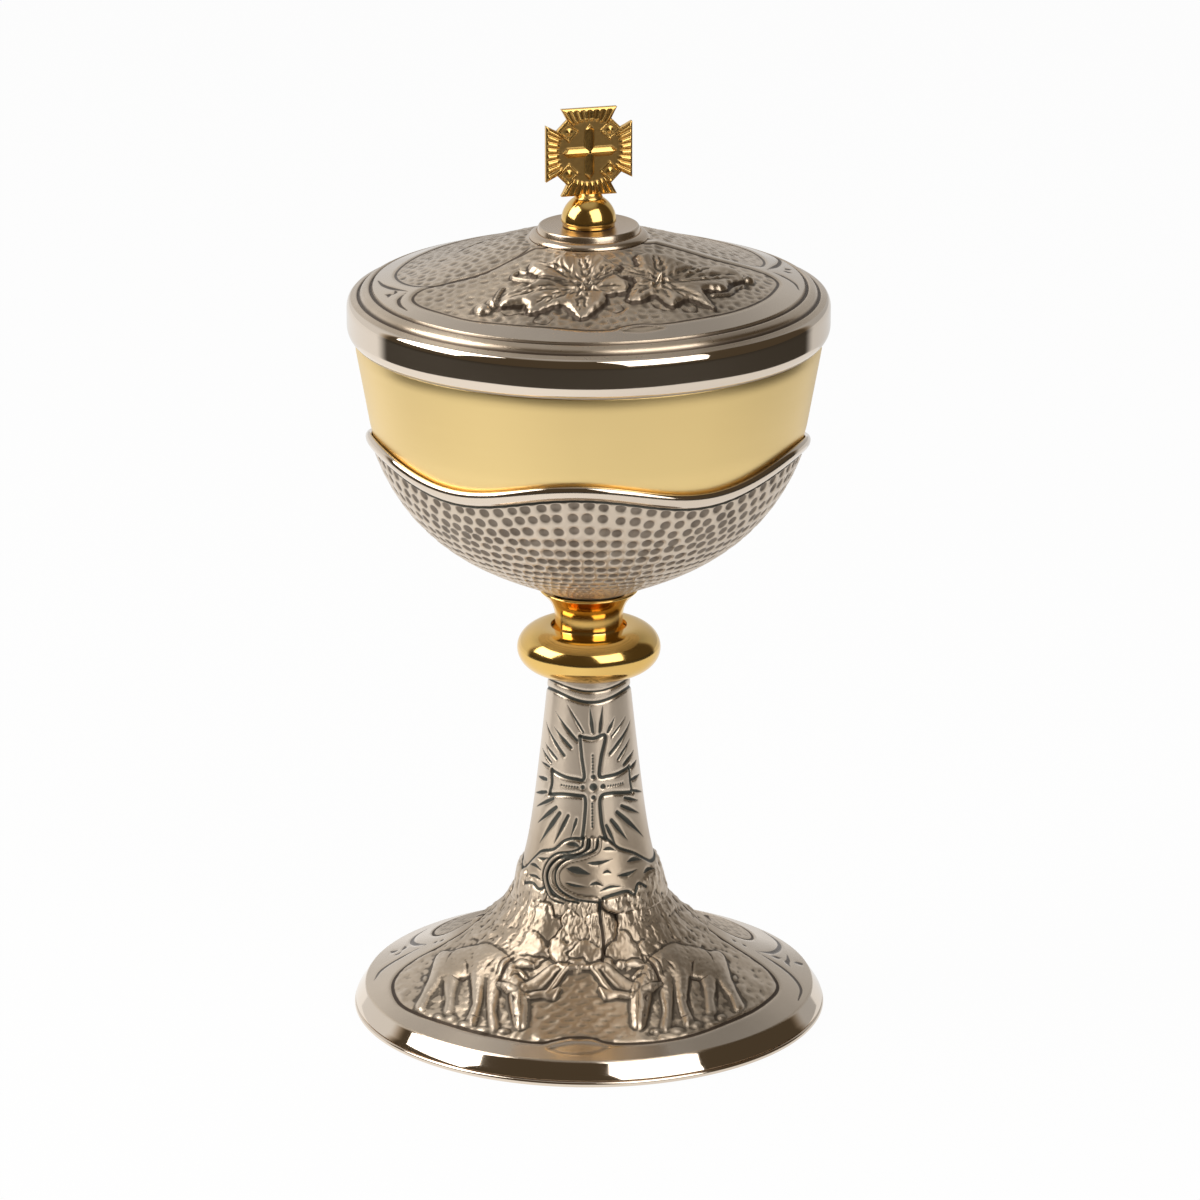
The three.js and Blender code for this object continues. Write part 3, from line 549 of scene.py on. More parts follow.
def chase_hill(sheet, degrees):
    along = sheet.spots[:, 1]
    skyline = np.array(HILL_EDGES[0] + HILL_EDGES[1])
    crest = np.interp(degrees, *skyline[np.argsort(skyline[:, 0])].T)
    sheet.height += 0.45 * (1 - faded(along, crest - 0.5, crest + 0.2)) * faded(along, 46, 52)
    for edge in HILL_EDGES:
        sheet.engrave(on_stem(edge), 0.75, 0.3)
    for first, middle, last, width in HILL_HOLLOWS:
        sheet.engrave(on_stem([first, middle, last]), (0.15, 0.8 * width, width, 0.6 * width, 0.15), 0.4)
    for i, edge in enumerate(STREAM_EDGES):
        sheet.stroke(on_stem(edge), (0.9, 1.1), 0.35 if i != 1 else 0.5)
    sheet.lay(0.35, 0.3)
    for edge in STREAM_EDGES:
        line = flowing(on_stem(edge))
        sheet.engrave(line + STREAM_BANK * side_ways(line), 0.62, 0.35, straight=True)
    outer = flowing(on_stem(STREAM_EDGES[0]))
    sheet.engrave(outer - STREAM_BANK * side_ways(outer), 0.6, 0.3, straight=True)


# %% The two lines under the knop
def chase_neck(sheet):
    turns = np.linspace(-186, 186, 63)
    wave = np.cos(np.radians(3 * (turns - 5)))
    sheet.engrave(on_stem(np.column_stack([turns, 103.5 - 0.5 * wave])), 0.6, 0.3, mark=0.8)
    sheet.engrave(on_stem(np.column_stack([turns, 101.0 - 0.8 * wave])), 0.85, 0.4)


# %% [markdown]
# Rocks: broad chips of sheet metal with dark cracks between them, each a little tilted. Every cell gets
# its own height and tilt, which reads as stone at once, and a fine grain is added on top. The cells live
# in space, not on the flat drawing, so they run on across the join between foot and stem. Between them
# water falls in strands, and towards the sides they turn into a slanted grain.

# %% Scatter the rocks
ROCK_SIZE = 7.4
SQUAT = np.array([1, 1, 0.85])
chance = np.random.default_rng(7)


def rock_centres():
    centres = []
    for row, along in enumerate(np.arange(22, 60, ROCK_SIZE * 0.95)):
        radius = trumpet_radius(along)
        height = np.interp(along, ALONG, TRUMPET[:, 1])
        count = max(9, int(2 * math.pi * radius / ROCK_SIZE))
        turns = (np.arange(count) + 0.5 * (row % 2) + chance.uniform(-0.3, 0.3, count)) * 2 * math.pi / count
        for turn in turns:
            lift = chance.uniform(-1.6, 1.6)
            centres.append((radius * math.sin(turn), -radius * math.cos(turn), height + lift))
    return np.array(centres)


ROCK_CENTRES = rock_centres()
ROCK_LIFT = chance.uniform(0.0, 0.6, len(ROCK_CENTRES))
ROCK_TILT = chance.uniform(-0.17, 0.17, (len(ROCK_CENTRES), 3))
print("rocks:", len(ROCK_CENTRES))


# %% Raise the rocks
GRAIN_FADE, GRAIN_STEP = 0.7, 2.1
ROCK_TURNS, ROCK_TOPS = [0, 38, 55, 70, 180], [50, 50.2, 52.8, 54.6, 55.2]


def grain(places, scale, octaves=3):
    spots = (Vector(place) * scale for place in places)
    return np.array([mathutils_noise.fractal(spot, GRAIN_FADE, GRAIN_STEP, octaves) for spot in spots])


def rock_relief(places):
    uneven = np.column_stack([grain(places + shift, 0.22, 2) for shift in (0, 31, 67)])
    owner, first, second = cells((places + 1.8 * uneven) * SQUAT, ROCK_CENTRES * SQUAT)
    tilt = np.sum(ROCK_TILT[owner] * (places - ROCK_CENTRES[owner]), axis=1)
    gap = second - first
    height = 0.35 + ROCK_LIFT[owner] + tilt - 0.02 * first**2
    return height - 0.45 * np.exp(-((gap / 0.8) ** 2)), gap


def chase_rocks(sheet, degrees, along, places):
    rough = grain(places, 0.28)
    lowest = 30 + 1.6 * rough
    aside = np.abs(degrees + 3)
    highest = np.interp(aside, ROCK_TURNS, ROCK_TOPS)
    share = faded(along, lowest - 0.8, lowest + 1.2) * (1 - faded(along, highest - 0.6, highest + 0.3))
    rocky = np.flatnonzero(share > 0)
    share, rough, aside = share[rocky], rough[rocky], aside[rocky]
    degrees, along, places = degrees[rocky], along[rocky], places[rocky]
    relief, gap = rock_relief(places)
    fall = faded(degrees, -21, -17) * (1 - faded(degrees, 6, 9)) * faded(along, 37, 40)
    strands = 0.22 * np.sin(degrees * 0.9 + 2.5 * rough) + 0.45
    relief = relief * (1 - 0.75 * fall) + strands * 0.75 * fall
    relief += 0.10 * grain(places, 0.8) + 0.06 * grain(places * np.array([1, 1, 0.4]), 1.8)
    far_side = faded(aside, 22, 42)
    slanted = np.column_stack([degrees * 0.14, along * 0.09, rough])
    relief = relief * (1 - 0.8 * far_side) + far_side * (0.35 + 0.36 * grain(slanted, 1.0))
    sheet.height[rocky] += share * relief
    crack = gap * 0.5 + 0.10 + 0.5 * rough + 3 * (1 - share) + 2 * fall + 1.5 * far_side
    sheet.line[rocky] = np.minimum(sheet.line[rocky], crack)


# %% [markdown]
# The panel on the foot: two stags drink from the water that comes down the rocks, an old subject on
# church silver. Such a picture is drawn to be looked at from the front and a little above, so the stag is
# drawn in that view, in millimetres across and up, and lands on the curved foot from there. It is a
# handful of lumps and strokes that melt together, and its mirror image stands on the other side.

# %% The stag
STAG_AXIS = -2.3
VIEW_PITCH = 0.375
TRUNK = [(-36.2, 8.3), (-32.6, 9.1), (-28.8, 9.7), (-25.6, 9.9)]
HIND_LEGS = [[(-37.2, 7.9), (-39.0, 4.4), (-40.9, 1.2), (-42.3, -1.8)],
             [(-34.6, 6.6), (-35.0, 3.1), (-34.9, 0), (-35.2, -2.9)]]
FRONT_LEGS = [[(-27.5, 6.6), (-27.8, 2.5), (-28.0, -1.3), (-29.4, -5.5)],
              [(-23.7, 5.3), (-24.1, 1.2), (-24.3, -2.9), (-23.7, -6.8)]]
NECK = [(-25.0, 10.4), (-22.0, 8.5), (-20.0, 5.5), (-18.4, 3.1)]
HEAD = [(-18.0, 3.1), (-17.6, 0), (-17.3, -3.2), (-17.1, -5.9)]
EAR = [(-18.2, 1.7), (-20.1, 2.3), (-22.6, 3.5)]
ANTLERS = [
    ([(-19.7, 4.5), (-19.1, 6.2), (-17.4, 6.7), (-15.9, 5.3)], (1.0, 1.5, 1.4, 0.9)),
    ([(-19.3, 7.4), (-16.8, 8.7), (-14.0, 8.4)], (1.6, 2.2, 1.0)),
    ([(-15.7, 2.5), (-12.7, 4.1), (-10.2, 6.3), (-7.7, 8.1), (-3.1, 7.8)], (2.4, 3.0, 2.6, 1.9, 0.9)),
    ([(-15.1, 0.6), (-11.8, 1.2), (-9.2, 1.2), (-7.4, 2.7)], (1.5, 1.6, 2.5, 0.8)),
    ([(-10.8, 1.2), (-8.4, 4.1), (-6.9, 6.3), (-5.3, 7.9)], (0.8, 1.4, 1.3, 1.0)),
]
FOLDS = [
    ([(-18.9, 10.6), (-20.3, 8.1), (-21.8, 5.2), (-22.9, 3.4)], 1.1, 0.45),
    ([(-30.2, 5.2), (-29.6, 1.4), (-30.4, -1.8)], 0.6, 0.30),
    ([(-36.4, 4.2), (-37.0, 1.2), (-36.8, -1.6)], 0.6, 0.30),
    ([(-30.8, 9.4), (-30.4, 7.9), (-30.6, 5.3)], 0.55, 0.35),
    ([(-35.7, 8.5), (-34.9, 11.0), (-33.5, 12.7)], 0.45, 0.20),
    ([(-23.4, 5.0), (-21.9, 8.5), (-19.3, 11.5)], 0.55, 0.30),
    ([(-22.3, 4.1), (-20.9, 6.3), (-20.0, 8.2)], 0.50, 0.30),
    ([(-26.0, 6.3), (-25.0, 7.9), (-23.1, 9.4)], 0.45, 0.25),
    ([(-34.3, 5.5), (-32.6, 4.9), (-30.4, 5.3)], 0.50, 0.30),
    ([(-19.0, 0.3), (-18.6, -0.5), (-18.8, -1.3)], 1.00, 0.45),
    ([(-18.5, -4.3), (-18.2, -5.1)], 0.70, 0.35),
    ([(-16.7, 1.2), (-16.8, -1.9), (-16.7, -4.4)], 0.40, 0.20),
    ([(-29.3, -4.3), (-27.8, -4.6)], 0.50, 0.25),
]
STONES = [((-37.8, -4.4), (1.3, 0.9)), ((-34.6, -4.7), (1.7, 1.0)), ((-31.3, -6.3), (1.6, 1.0)),
          ((-26.6, -7.7), (2.2, 0.9)), ((-41.4, 5.3), (0.8, 1.0)), ((-21.2, -7.9), (1.5, 0.7))]


def seen_from_front(places):
    up = places[:, 2] * math.cos(VIEW_PITCH) + places[:, 1] * math.sin(VIEW_PITCH)
    return np.where((places[:, 1] < -2)[:, None], np.column_stack([places[:, 0], up]), 500.0)


def stag(sheet, places, side, grow):
    plan = sheet.spots
    sheet.spots = seen_from_front(places)
    if side > 0:
        sheet.spots[:, 0] = 2 * STAG_AXIS - sheet.spots[:, 0]
    sheet.stroke(TRUNK, (6.4, 7.6, 8.0, 7.8), 0.95, 0.6)
    sheet.lump(TRUNK[0], (3.3, 4.2), 10, 1.2, 0.75)
    sheet.lump((-26.4, 9.2), (3.9, 5.2), -12, 1.4, 0.75)
    for leg, rise in zip(HIND_LEGS + FRONT_LEGS, ((1.2, 0.9, 0.7, 0.7), (0.9, 0.6, 0.5, 0.5)) * 2):
        sheet.stroke(leg, (5.4, 3.7, 2.5, 3.0), rise, 0.9)
    sheet.stroke(NECK, (6.6, 6.0, 5.2, 4.6), (1.3, 1.4, 1.5, 1.5), 0.75)
    sheet.stroke(HEAD, np.array((4.8, 5.0, 4.4, 3.4)) * grow, (1.5, 1.7, 1.5, 1.2), 0.7)
    coat = faded(sheet.clay, 0.1, 0.6)
    sheet.lay(0.2)
    sheet.stroke(EAR, (1.5, 2.3, 0.7), (0.3, 0.5, 0.3), 0.7)
    sheet.lay(1.2, 0.2)
    for antler, width in ANTLERS:
        sheet.stroke(antler, 1.2 * np.array(width), 0.6, 0.9)
    sheet.lay(0.3, 0.5)
    hairy = np.flatnonzero(coat > 0)
    hair = grain(places[hairy] * np.array([1, 1, 0.5]), 1.3)
    sheet.height[hairy] += 0.16 * coat[hairy] * hair
    for points, width, depth in FOLDS:
        sheet.engrave(points, (0.4 * width, width, 0.4 * width), depth, mark=0.8)
    for centre, halves in STONES:
        sheet.lump(centre, halves, 0, 0.35, 0.9)
    sheet.lay(0.15)
    sheet.spots = plan


# %% The water and the ground
WATER = [(-11, -30), (-4, -29.2), (3, -29.2), (7.5, -33), (9.5, -38), (10.5, -46), (5, -50), (-10, -49.6),
         (-15.4, -46.5), (-14.4, -38), (-12, -34)]


def chase_ground(sheet, places, panel):
    lumps = grain(places, 0.22) + 0.5 * grain(places, 0.6)
    wet = np.clip(covered(sheet.spots, WATER), 0, 1)
    sheet.height += panel * (0.30 * lumps * (1 - wet) + 0.07 * lumps * wet - 0.12 * wet)
    ripples = []
    for row, y in enumerate(np.arange(-31.4, -49, -1.75)):
        for x in np.arange(-16, 12, 4.6) + 2.3 * (row % 2) + chance.uniform(-0.8, 0.8):
            long = chance.uniform(1.6, 2.8)
            sag = chance.uniform(0.2, 0.6)
            ends = (x - long, y), (x + long, y)
            if inside(np.array(ends), np.array(WATER)).all():
                dip, rise = (x - 0.3 * long, y - sag), (x + 0.4 * long, y - 0.4 * sag)
                ripples.append([ends[0], dip, rise, (x + long, y + 0.3)])
    for line in ripples:
        sheet.engrave(line, (0.2, 1.3, 1.5, 1.1, 0.2), 0.22, mark=0)
    print("ripples:", len(ripples))
    return wet


# %% The scrolls beside the panels
BORDER_LINES = [
    ([(-41.6, 7), (-44.4, 11.4), (-45.8, 17), (-45, 23), (-42, 29)], (0.2, 1.3, 1.2, 0.8, 0.3)),
    ([(-41.6, 7), (-48, 5.5), (-53, 2), (-55, -4)], (0.2, 1.2, 1.1, 0.3)),
    ([(-51.4, 15.6), (-50.2, 13.6), (-48.6, 13)], (0.2, 1.7, 0.2)),
    ([(-47.6, 14.8), (-47.6, 12.8), (-48.4, 11.4)], (0.2, 1.5, 0.2)),
    ([(-50.6, 10.4), (-49.2, 9.8), (-48, 10.8)], (0.2, 1.4, 0.2)),
    ([(-33, 11.6), (-29, 8.6), (-26.5, 4.6)], (0.2, 1.6, 0.3)),
    ([(42.6, 2.8), (46.8, 7.4), (49, 15), (48.8, 23), (45, 33)], (0.2, 1.3, 1.2, 0.9, 0.3)),
    ([(42.6, 2.8), (48, 0.2), (52, -4), (54, -10), (53, -17.5)], (0.2, 1.2, 1.1, 0.8, 0.3)),
    ([(46.2, 4), (48, 5.2), (49.6, 6.6)], (0.2, 1.7, 0.2)),
    ([(51.6, 2.2), (50.8, 4.4), (51.2, 7), (51, 11.6)], (0.2, 1.4, 1.0, 0.2)),
    ([(52.4, 6.4), (54, 8), (55, 9.4)], (0.2, 2.0, 0.2)),
    ([(31, 26), (30.4, 19), (31.4, 13)], (0.2, 1.6, 0.3)),
    ([(-14, 52.4), (-6, 53.6), (0, 53.8), (6, 53.6), (14, 52.4)], (0.2, 0.9, 1.2, 0.9, 0.2)),
]
BORDER_DOTS = [(-39.4, 5.4), (-37.8, 4.4), (37.2, 3.2), (39.8, 3.4), (0, 51.4), (-3, 51.3), (3, 51.3)]


# %% The panels' borders
PANEL = [(24, 4.4), (30, 1.8), (35, -0.5), (42, -3.5), (46.5, -8), (48, -14), (46, -21), (41, -30), (33, -39),
         (25, -45.5), (16, -49.5), (8, -51), (4, -50.7), (1.5, -49.6), (-2, -49.1), (-6, -49.2), (-9, -49.9),
         (-12, -50.3), (-18, -48.5), (-27, -44), (-35, -38), (-43, -30), (-48, -22), (-50, -12), (-48.5, -5),
         (-44, -1), (-36, 1), (-30, 3), (-25, 5.4)]
BACK_PANEL = [(24, 12), (29, 9.4), (34, 8), (39, 8.6), (42, 13.5), (41.5, 22), (37.5, 30), (31, 37),
              (22, 43.5), (11, 47.5), (0, 48.8), (-11, 47.5), (-22, 43.5), (-31, 37), (-37, 30), (-40, 22),
              (-40, 14), (-37, 9.5), (-32, 9.6), (-27, 11.4), (-23, 13)]
FOOT_OVAL = [(-10.4, -52.2), (-6, -50.9), (-2.5, -50.6), (1, -50.9), (5.4, -52.2), (1.6, -54.2),
             (-2.5, -54.7), (-6.6, -54.2)]


def chase_border(sheet):
    sheet.engrave(PANEL, 1.0, 0.42, mark=0.85)
    sheet.engrave(BACK_PANEL, 0.8, 0.35, mark=0.8)
    within = depth_in(sheet.spots, flowing(FOOT_OVAL, closed=True))
    sheet.height -= 0.28 * faded(within, -0.35, 0.7)
    for points, width in BORDER_LINES:
        sheet.engrave(points, width, 0.35)


def chase_dots(sheet):
    for dot in BORDER_DOTS:
        sheet.punch(dot, 1.1, 0.35)


# %% [markdown]
# Vine leaves: the lid carries two of them, and the back of the foot one. A leaf is a thin plate that drops
# steeply at its toothed edge, dished round its heart so that its rim stands high, and creased along its
# veins. In the creases the veins stand up as thin ribs, as they do where a leaf is embossed.

# %% Chase a vine leaf
def leaf(sheet, heart, outline, tips, rise):
    heart = np.array(heart, float)
    edge = flowing(outline, True, 5)
    near = sheet.within(edge, 1.5)
    x, y = sheet.spots[near].T
    wavy = sheet.spots[near] + 0.12 * np.column_stack([np.sin(3.4 * y), np.sin(3.1 * x + 1)])
    depth = depth_in(wavy, edge)
    x, y = (sheet.spots[near] - heart).T
    reach = np.hypot(x, y)
    dish = 0.50 + 0.50 * faded(reach, 1, 13)
    axes = []
    for tip in np.array(tips, float):
        way = tip - heart
        bow = 0.06 * np.array((way[1], -way[0]))
        axes.append(flowing([heart, heart + 0.5 * way + bow, tip]))
    vein = np.min([distance_to(sheet.spots[near], axis)[0] for axis in axes], axis=0)
    crease = 0.48 * np.exp(-((vein / 1.5) ** 2)) * faded(reach, 1, 5)
    pleat = 0.05 * np.sin(30 * np.arctan2(y, x) + 0.6 * reach) * faded(reach, 3, 8) * faded(depth, 0.9, 2.6)
    plate = rise * (dish - crease + pleat) * faded(depth, -0.45, 1.75)
    sheet.clay[near] = np.where(depth > -0.45, plate, depth)
    ground = faded(sheet.clay, 0.1, 0.5)
    sheet.lay(0.08)
    sheet.line[near] = np.minimum(sheet.line[near], np.abs(depth + 0.1) - 0.42)
    for axis in axes:
        rib(sheet, axis, (1.2, 1.0, 0.5), 0.42, ground)
        way = axis[-1] - axis[0]
        across = np.array((way[1], -way[0]))
        for share in (0.32, 0.52, 0.70):
            root = axis[int(share * (len(axis) - 1))]
            for side in (-1, 1):
                end = root + 0.22 * way + side * 0.26 * (1.2 - share) * across
                side_vein = flowing([root, 0.5 * (root + end) + 0.04 * way, end], steps=3)
                rib(sheet, side_vein, (0.8, 0.6, 0.4), 0.20, ground)


def rib(sheet, line, width, rise, ground):
    near = sheet.within(line, 1.6)
    far, share = distance_to(sheet.spots[near], line)
    half = along_stroke(width, share) / 2
    lift = np.exp(-((far / half) ** 2)) - 0.45 * np.exp(-(((far - 2.1 * half) / (0.9 * half)) ** 2))
    sheet.height[near] += rise * lift * ground[near] * (1 - faded(share, 0.85, 1.0))


TENDRIL_RISE = 0.35


def tendril(sheet, points, width):
    sheet.stroke(points, (width, width, 0.5 * width), TENDRIL_RISE, 0.8)
    sheet.lay(0.05)
    line = flowing(points)
    for side in (-0.75, 0.75):
        sheet.engrave(line + side * width * side_ways(line), 0.4, 0.12, straight=True, mark=0.8)


# %% [markdown]
# Hammered ground: the panels of lid and foot are covered with small round hammer marks. A round-headed
# punch leaves a shallow dimple, and the thin web between the dimples stays high and is rubbed bright.

# %% Hammer a panel
WEB = 1.2


def hammer(sheet, panel, size, depth=0.22, jitter=0.20):
    low, high = sheet.spots.min(axis=0), sheet.spots.max(axis=0)
    centres = []
    for y in np.arange(low[1], high[1], size * 0.87):
        for x in np.arange(low[0], high[0], size) + size * chance.uniform(0, 1):
            centres.append((x, y, 0) + size * jitter * np.append(chance.uniform(-1, 1, 2), 0))
    strength = chance.uniform(0.55, 1.15, len(centres))
    inside_panel = np.flatnonzero(panel > 0)
    places = np.column_stack([sheet.spots[inside_panel], np.zeros(len(inside_panel))])
    owner, first, second = cells(places, np.array(centres))
    share = panel[inside_panel]
    edge = np.maximum(1.16 - (second - first) / (0.85 * size), 0.86 * first / (0.5 * size))
    dimple = np.clip(edge, 0, WEB)
    sheet.height[inside_panel] -= share * strength[owner] * depth * (1 - dimple**2 / WEB**2)
    sheet.pit[inside_panel] = share * strength[owner] * (1 - faded(dimple, 0.60, 1.12))


# %% Read a turned piece as rows
def rows_of(spots, profile):
    tree = tree_of([(r, z, 0) for r, z in profile])
    flat = zip(np.hypot(spots[:, 0], spots[:, 1]), spots[:, 2])
    return np.array([tree.find((r, z, 0))[1] for r, z in flat])


# %% Note the patina and the painted shade
FINE_ROUNDS, BROAD_ROUNDS = 4, 24
PIT_START = 0.42


def note_marks(piece, sheet, chased, height):
    total = len(piece.data.vertices)
    mark, rim = np.zeros(total), np.zeros(total)
    mark[chased] = np.clip(0.5 - sheet.line / 1.2, 0, 1)
    # rim: a dark outline along the foot of each raised figure, patina in that corner and painted shade beside
    # the figure
    rim[chased] = np.clip(1 - sheet.edge / 0.9, 0, 1)
    fine = blurred(piece, height, FINE_ROUNDS) - height
    broad = blurred(piece, height, BROAD_ROUNDS) - height
    pit = np.zeros(total)
    pit[chased] = PIT_START + 0.12 * np.clip(sheet.pit, 0, 1)
    keep(piece, "mark", mark)
    keep(piece, "rim", rim)
    keep(piece, "pit", pit)
    # recess: how far a point lies below its surroundings; its hollows are darkened as patina and as painted
    # shade
    recess = np.clip(0.5 + 2.2 * fine + 0.9 * broad, 0, 1) - 0.5
    keep(piece, "recess", recess - 1.3 * (pit - PIT_START) * (pit > 0))


# %% [markdown]
# Foot and stem are one trumpet, turned as two pieces that meet at the join. The foot is drawn as seen
# from above, and the stem on its unrolled surface, so that every figure keeps its shape.

# %% Turn a stretch of the trumpet
FOOT_STEP, STEM_STEP = 0.31, 0.34
FOOT_FACETS, STEM_FACETS = 520, 440


def trumpet_piece(name, first, last, step, facets, extra_outside, inside_end):
    outside = stretch(first, last, step)
    before = 0
    if len(extra_outside):
        outside = joined(extra_outside, outside)
        before = lengths(extra_outside)[-1]
    ways = side_ways(outside)
    profile = joined(outside, inside_end)
    piece = turned(name, profile, facets)
    spots, angle, radius = tighten(piece, 0.5)
    row = rows_of(spots, profile)
    outer = row < len(outside)
    row = np.minimum(row, len(outside) - 1)
    along = lengths(outside)[row] + first - before
    return piece, spots, angle, radius, outer, along, ways[row]


# %% Draw on the foot and on the stem
BACK_LEAF = [(-3.5, 27.5), (0, 26.5), (3.5, 27.5), (10.5, 30), (9.4, 33.4), (11, 37.4), (8.8, 42),
             (4.4, 41.2), (0, 47), (-4.4, 41.2), (-8.8, 42), (-11, 37.4), (-9.4, 33.4), (-10.5, 30)]
BACK_TIPS = [(-9.5, 31), (-8, 40), (0, 45), (8, 40), (9.5, 31), (0, 28.5)]
BACK_HEART = (0, 33)
FRONT_LINE, BACK_LINE = flowing(PANEL, steps=2), flowing(BACK_PANEL, steps=2)
LONG_CRACK = [(8.6, 49.4), (8.2, 45), (8.8, 40), (8.2, 36), (7, 33)]


def draw_foot(flat, places, along):
    plan = Sheet(places[:, :2])
    plan.height, plan.line = flat.height, flat.line
    front = faded(covered(plan.spots, FRONT_LINE), 0.3, 1.2) * (1 - faded(along, 29, 31))
    back = faded(covered(plan.spots, BACK_LINE), 0.3, 1.2) * (1 - faded(along, 27, 29))
    wet = chase_ground(plan, places, front)
    hammer(plan, back, 2.4)
    stag(plan, places, -1, 1.0)
    stag(plan, places, 1, 1.08)
    leaf(plan, BACK_HEART, BACK_LEAF, BACK_TIPS, 1.1)
    chase_border(plan)
    chase_dots(plan)
    return plan, wet


def draw_stem(flat, degrees):
    chase_hill(flat, degrees)
    chase_rays(flat)
    chase_cross(flat)
    chase_neck(flat)
    return flat, np.zeros(len(degrees))


# %% Chase foot and stem
def chase_trumpet(piece, spots, angle, radius, outer, along, ways, is_foot):
    chased = np.flatnonzero(outer & (along > 0.5))
    places, degrees, s = spots[chased], np.degrees(angle[chased]), along[chased]
    unrolled = np.column_stack([angle[chased] * radius[chased], s])
    flat, crack = Sheet(unrolled), Sheet(unrolled)
    chase_rocks(flat, degrees, s, places)
    sheet, wet = draw_foot(flat, places, s) if is_foot else draw_stem(flat, degrees)
    crack.engrave(on_stem(LONG_CRACK), 0.9, 0.45)
    height = np.zeros(len(spots))
    height[chased] = (sheet.height + crack.height) * faded(s, 0.5, 1.5)
    aside = np.abs(np.degrees(angle) + 3) > 48
    calm = (along < JOIN - 3) | (aside & (along < JOIN + 15))
    height = np.where(calm, blurred(piece, height, 1), height)
    sheet.line = np.minimum(sheet.line, crack.line)
    push(piece, spots, outward_of(angle, ways), height)
    piece.data.set_sharp_from_angle(angle=math.radians(80))
    note_marks(piece, sheet, chased, height)
    warm = np.zeros(len(spots))
    warm[chased] = 0.4 * np.clip(wet, 0, 1) * (s < 40)
    keep(piece, "warm", warm)
    shine = np.where(outer, 1 - faded(along, -0.35, 0.15), 0)
    if is_foot:
        flat_spots = spots[:, :2]
        panel = faded(np.maximum(covered(flat_spots, FRONT_LINE), covered(flat_spots, BACK_LINE)), -0.1, 0.3)
        plain = (1 - panel) * (1 - faded(along, 20, 28))
        shine = np.where(outer & (along > 0), 0.45 * plain - 0.30 * (1 - plain), shine)
    keep(piece, "shine", shine)
    print(piece.name, "stands out up to", round(height.max(), 2), "mm")
    return piece


# %% Make foot and stem
STEM_PLATE = 2.2
BEVEL_TUCK = (-0.12, 0.0)


def foot_shell():
    bevel = spaced(np.array([(BEVEL_RADIUS, BEVEL_FOOT), BEVEL_TOP]), 0.7)
    bevel[0] += BEVEL_TUCK
    wall = offset(stretch(0, JOIN, 3.0), -FOOT_WALL)[::-1]
    inside_end = joined(wall, (BEVEL_RADIUS - FOOT_WALL - 0.4, BEVEL_FOOT))
    foot = trumpet_piece("chased_foot", 0, JOIN, FOOT_STEP, FOOT_FACETS, bevel, inside_end)
    return chase_trumpet(*foot, True)


def stem_shell():
    plate = STEM_TOP - STEM_PLATE
    wall = offset(stretch(JOIN, ALONG[-1], 3.0), -FOOT_WALL)
    wall = wall[wall[:, 1] < plate - 0.5][::-1]
    inside_end = joined((ROD_HOLE, STEM_TOP), (ROD_HOLE, plate), (wall[0][0], plate), wall)
    stem = trumpet_piece("chased_stem", JOIN, ALONG[-1], STEM_STEP, STEM_FACETS, [], inside_end)
    return chase_trumpet(*stem, False)


# %% [markdown]
# Knop and collar: the gilt ring that the hand holds, and the small trumpet above it that carries the cup.
# Both are plain turned work, polished bright, so that they mirror the room.

# %% Turn the knop
KNOP_WIDTH = 7.1
COLLAR_FOOT_RADIUS = 9.3
PIECE_GAP = 0.3
ROUND_FACETS = 192


def knop():
    half = (KNOP_TOP - KNOP_FOOT) / 2
    centre = (KNOP_RADIUS - KNOP_WIDTH, KNOP_FOOT + half)
    seat = COLLAR_FOOT - PIECE_GAP
    ledge = COLLAR_FOOT_RADIUS + PIECE_GAP
    outside = arc(centre, KNOP_WIDTH, half, -90, 90, 64)
    profile = joined((ROD_HOLE, KNOP_FOOT), outside, (ledge, KNOP_TOP), (ledge, seat), (ROD_HOLE, seat))
    return turned("gilt_knop", softened(profile, 0.12), ROUND_FACETS)


# %% Turn the collar
COLLAR_WAIST = 8.5
DISH_DEPTH = 1.4
DISH_RADIUS = 9.3


def neck_collar():
    foot = (COLLAR_FOOT_RADIUS, COLLAR_FOOT)
    waist = (COLLAR_WAIST, COLLAR_FOOT + 1.9)
    lip = (COLLAR_RADIUS, COLLAR_TOP - 0.5)
    dish = COLLAR_TOP - DISH_DEPTH
    profile = joined((ROD_HOLE, COLLAR_FOOT), curve(foot, (-1, 1), 0.8, waist, (0, 1), 0.8, 10),
                     curve(waist, (0, 1), 5, lip, (1, 1), 3.6, 32), (COLLAR_RADIUS - 0.25, COLLAR_TOP),
                     (DISH_RADIUS, dish), (ROD_HOLE, dish))
    return turned("gilt_collar", softened(profile, 0.15), ROUND_FACETS)


# %% [markdown]
# Cup and holder share one wall line. The cup follows it, and the hammered holder follows it a little
# further out, so that the two fit like a hand in a glove.

# %% Draw the wall of the cup
CUP_WALL = 1.1
LEDGE = 1.5
HOLDER_WALL = 0.7
CUP_STEP = 1.2
CUP_FACETS = 256
FLOOR_HEIGHT, FLOOR_EDGE = 5.4, 24
START_SLOPE, BELLY_LEAN, MOUTH_LEAN = 0.564, 0.335, 0.178
BELLY = (CUP_RADIUS - 5.16, CALYX_FOOT + 39.8)
BREAK = (CUP_RADIUS - 19.6 * MOUTH_LEAN, CALYX_FOOT + 45.8)


def cup_wall():
    shell = HOLDER_WALL + PIECE_GAP
    start = (9 - shell * math.sin(math.atan(START_SLOPE)), CALYX_FOOT + shell)
    belly = curve(start, (1, START_SLOPE), 14.5, BELLY, (BELLY_LEAN, 1), 29.3, 120)
    ease = curve(BELLY, (BELLY_LEAN, 1), 2, BREAK, (MOUTH_LEAN, 1), 2, 12)
    return joined(belly, ease, (CUP_RADIUS, CUP_MOUTH))


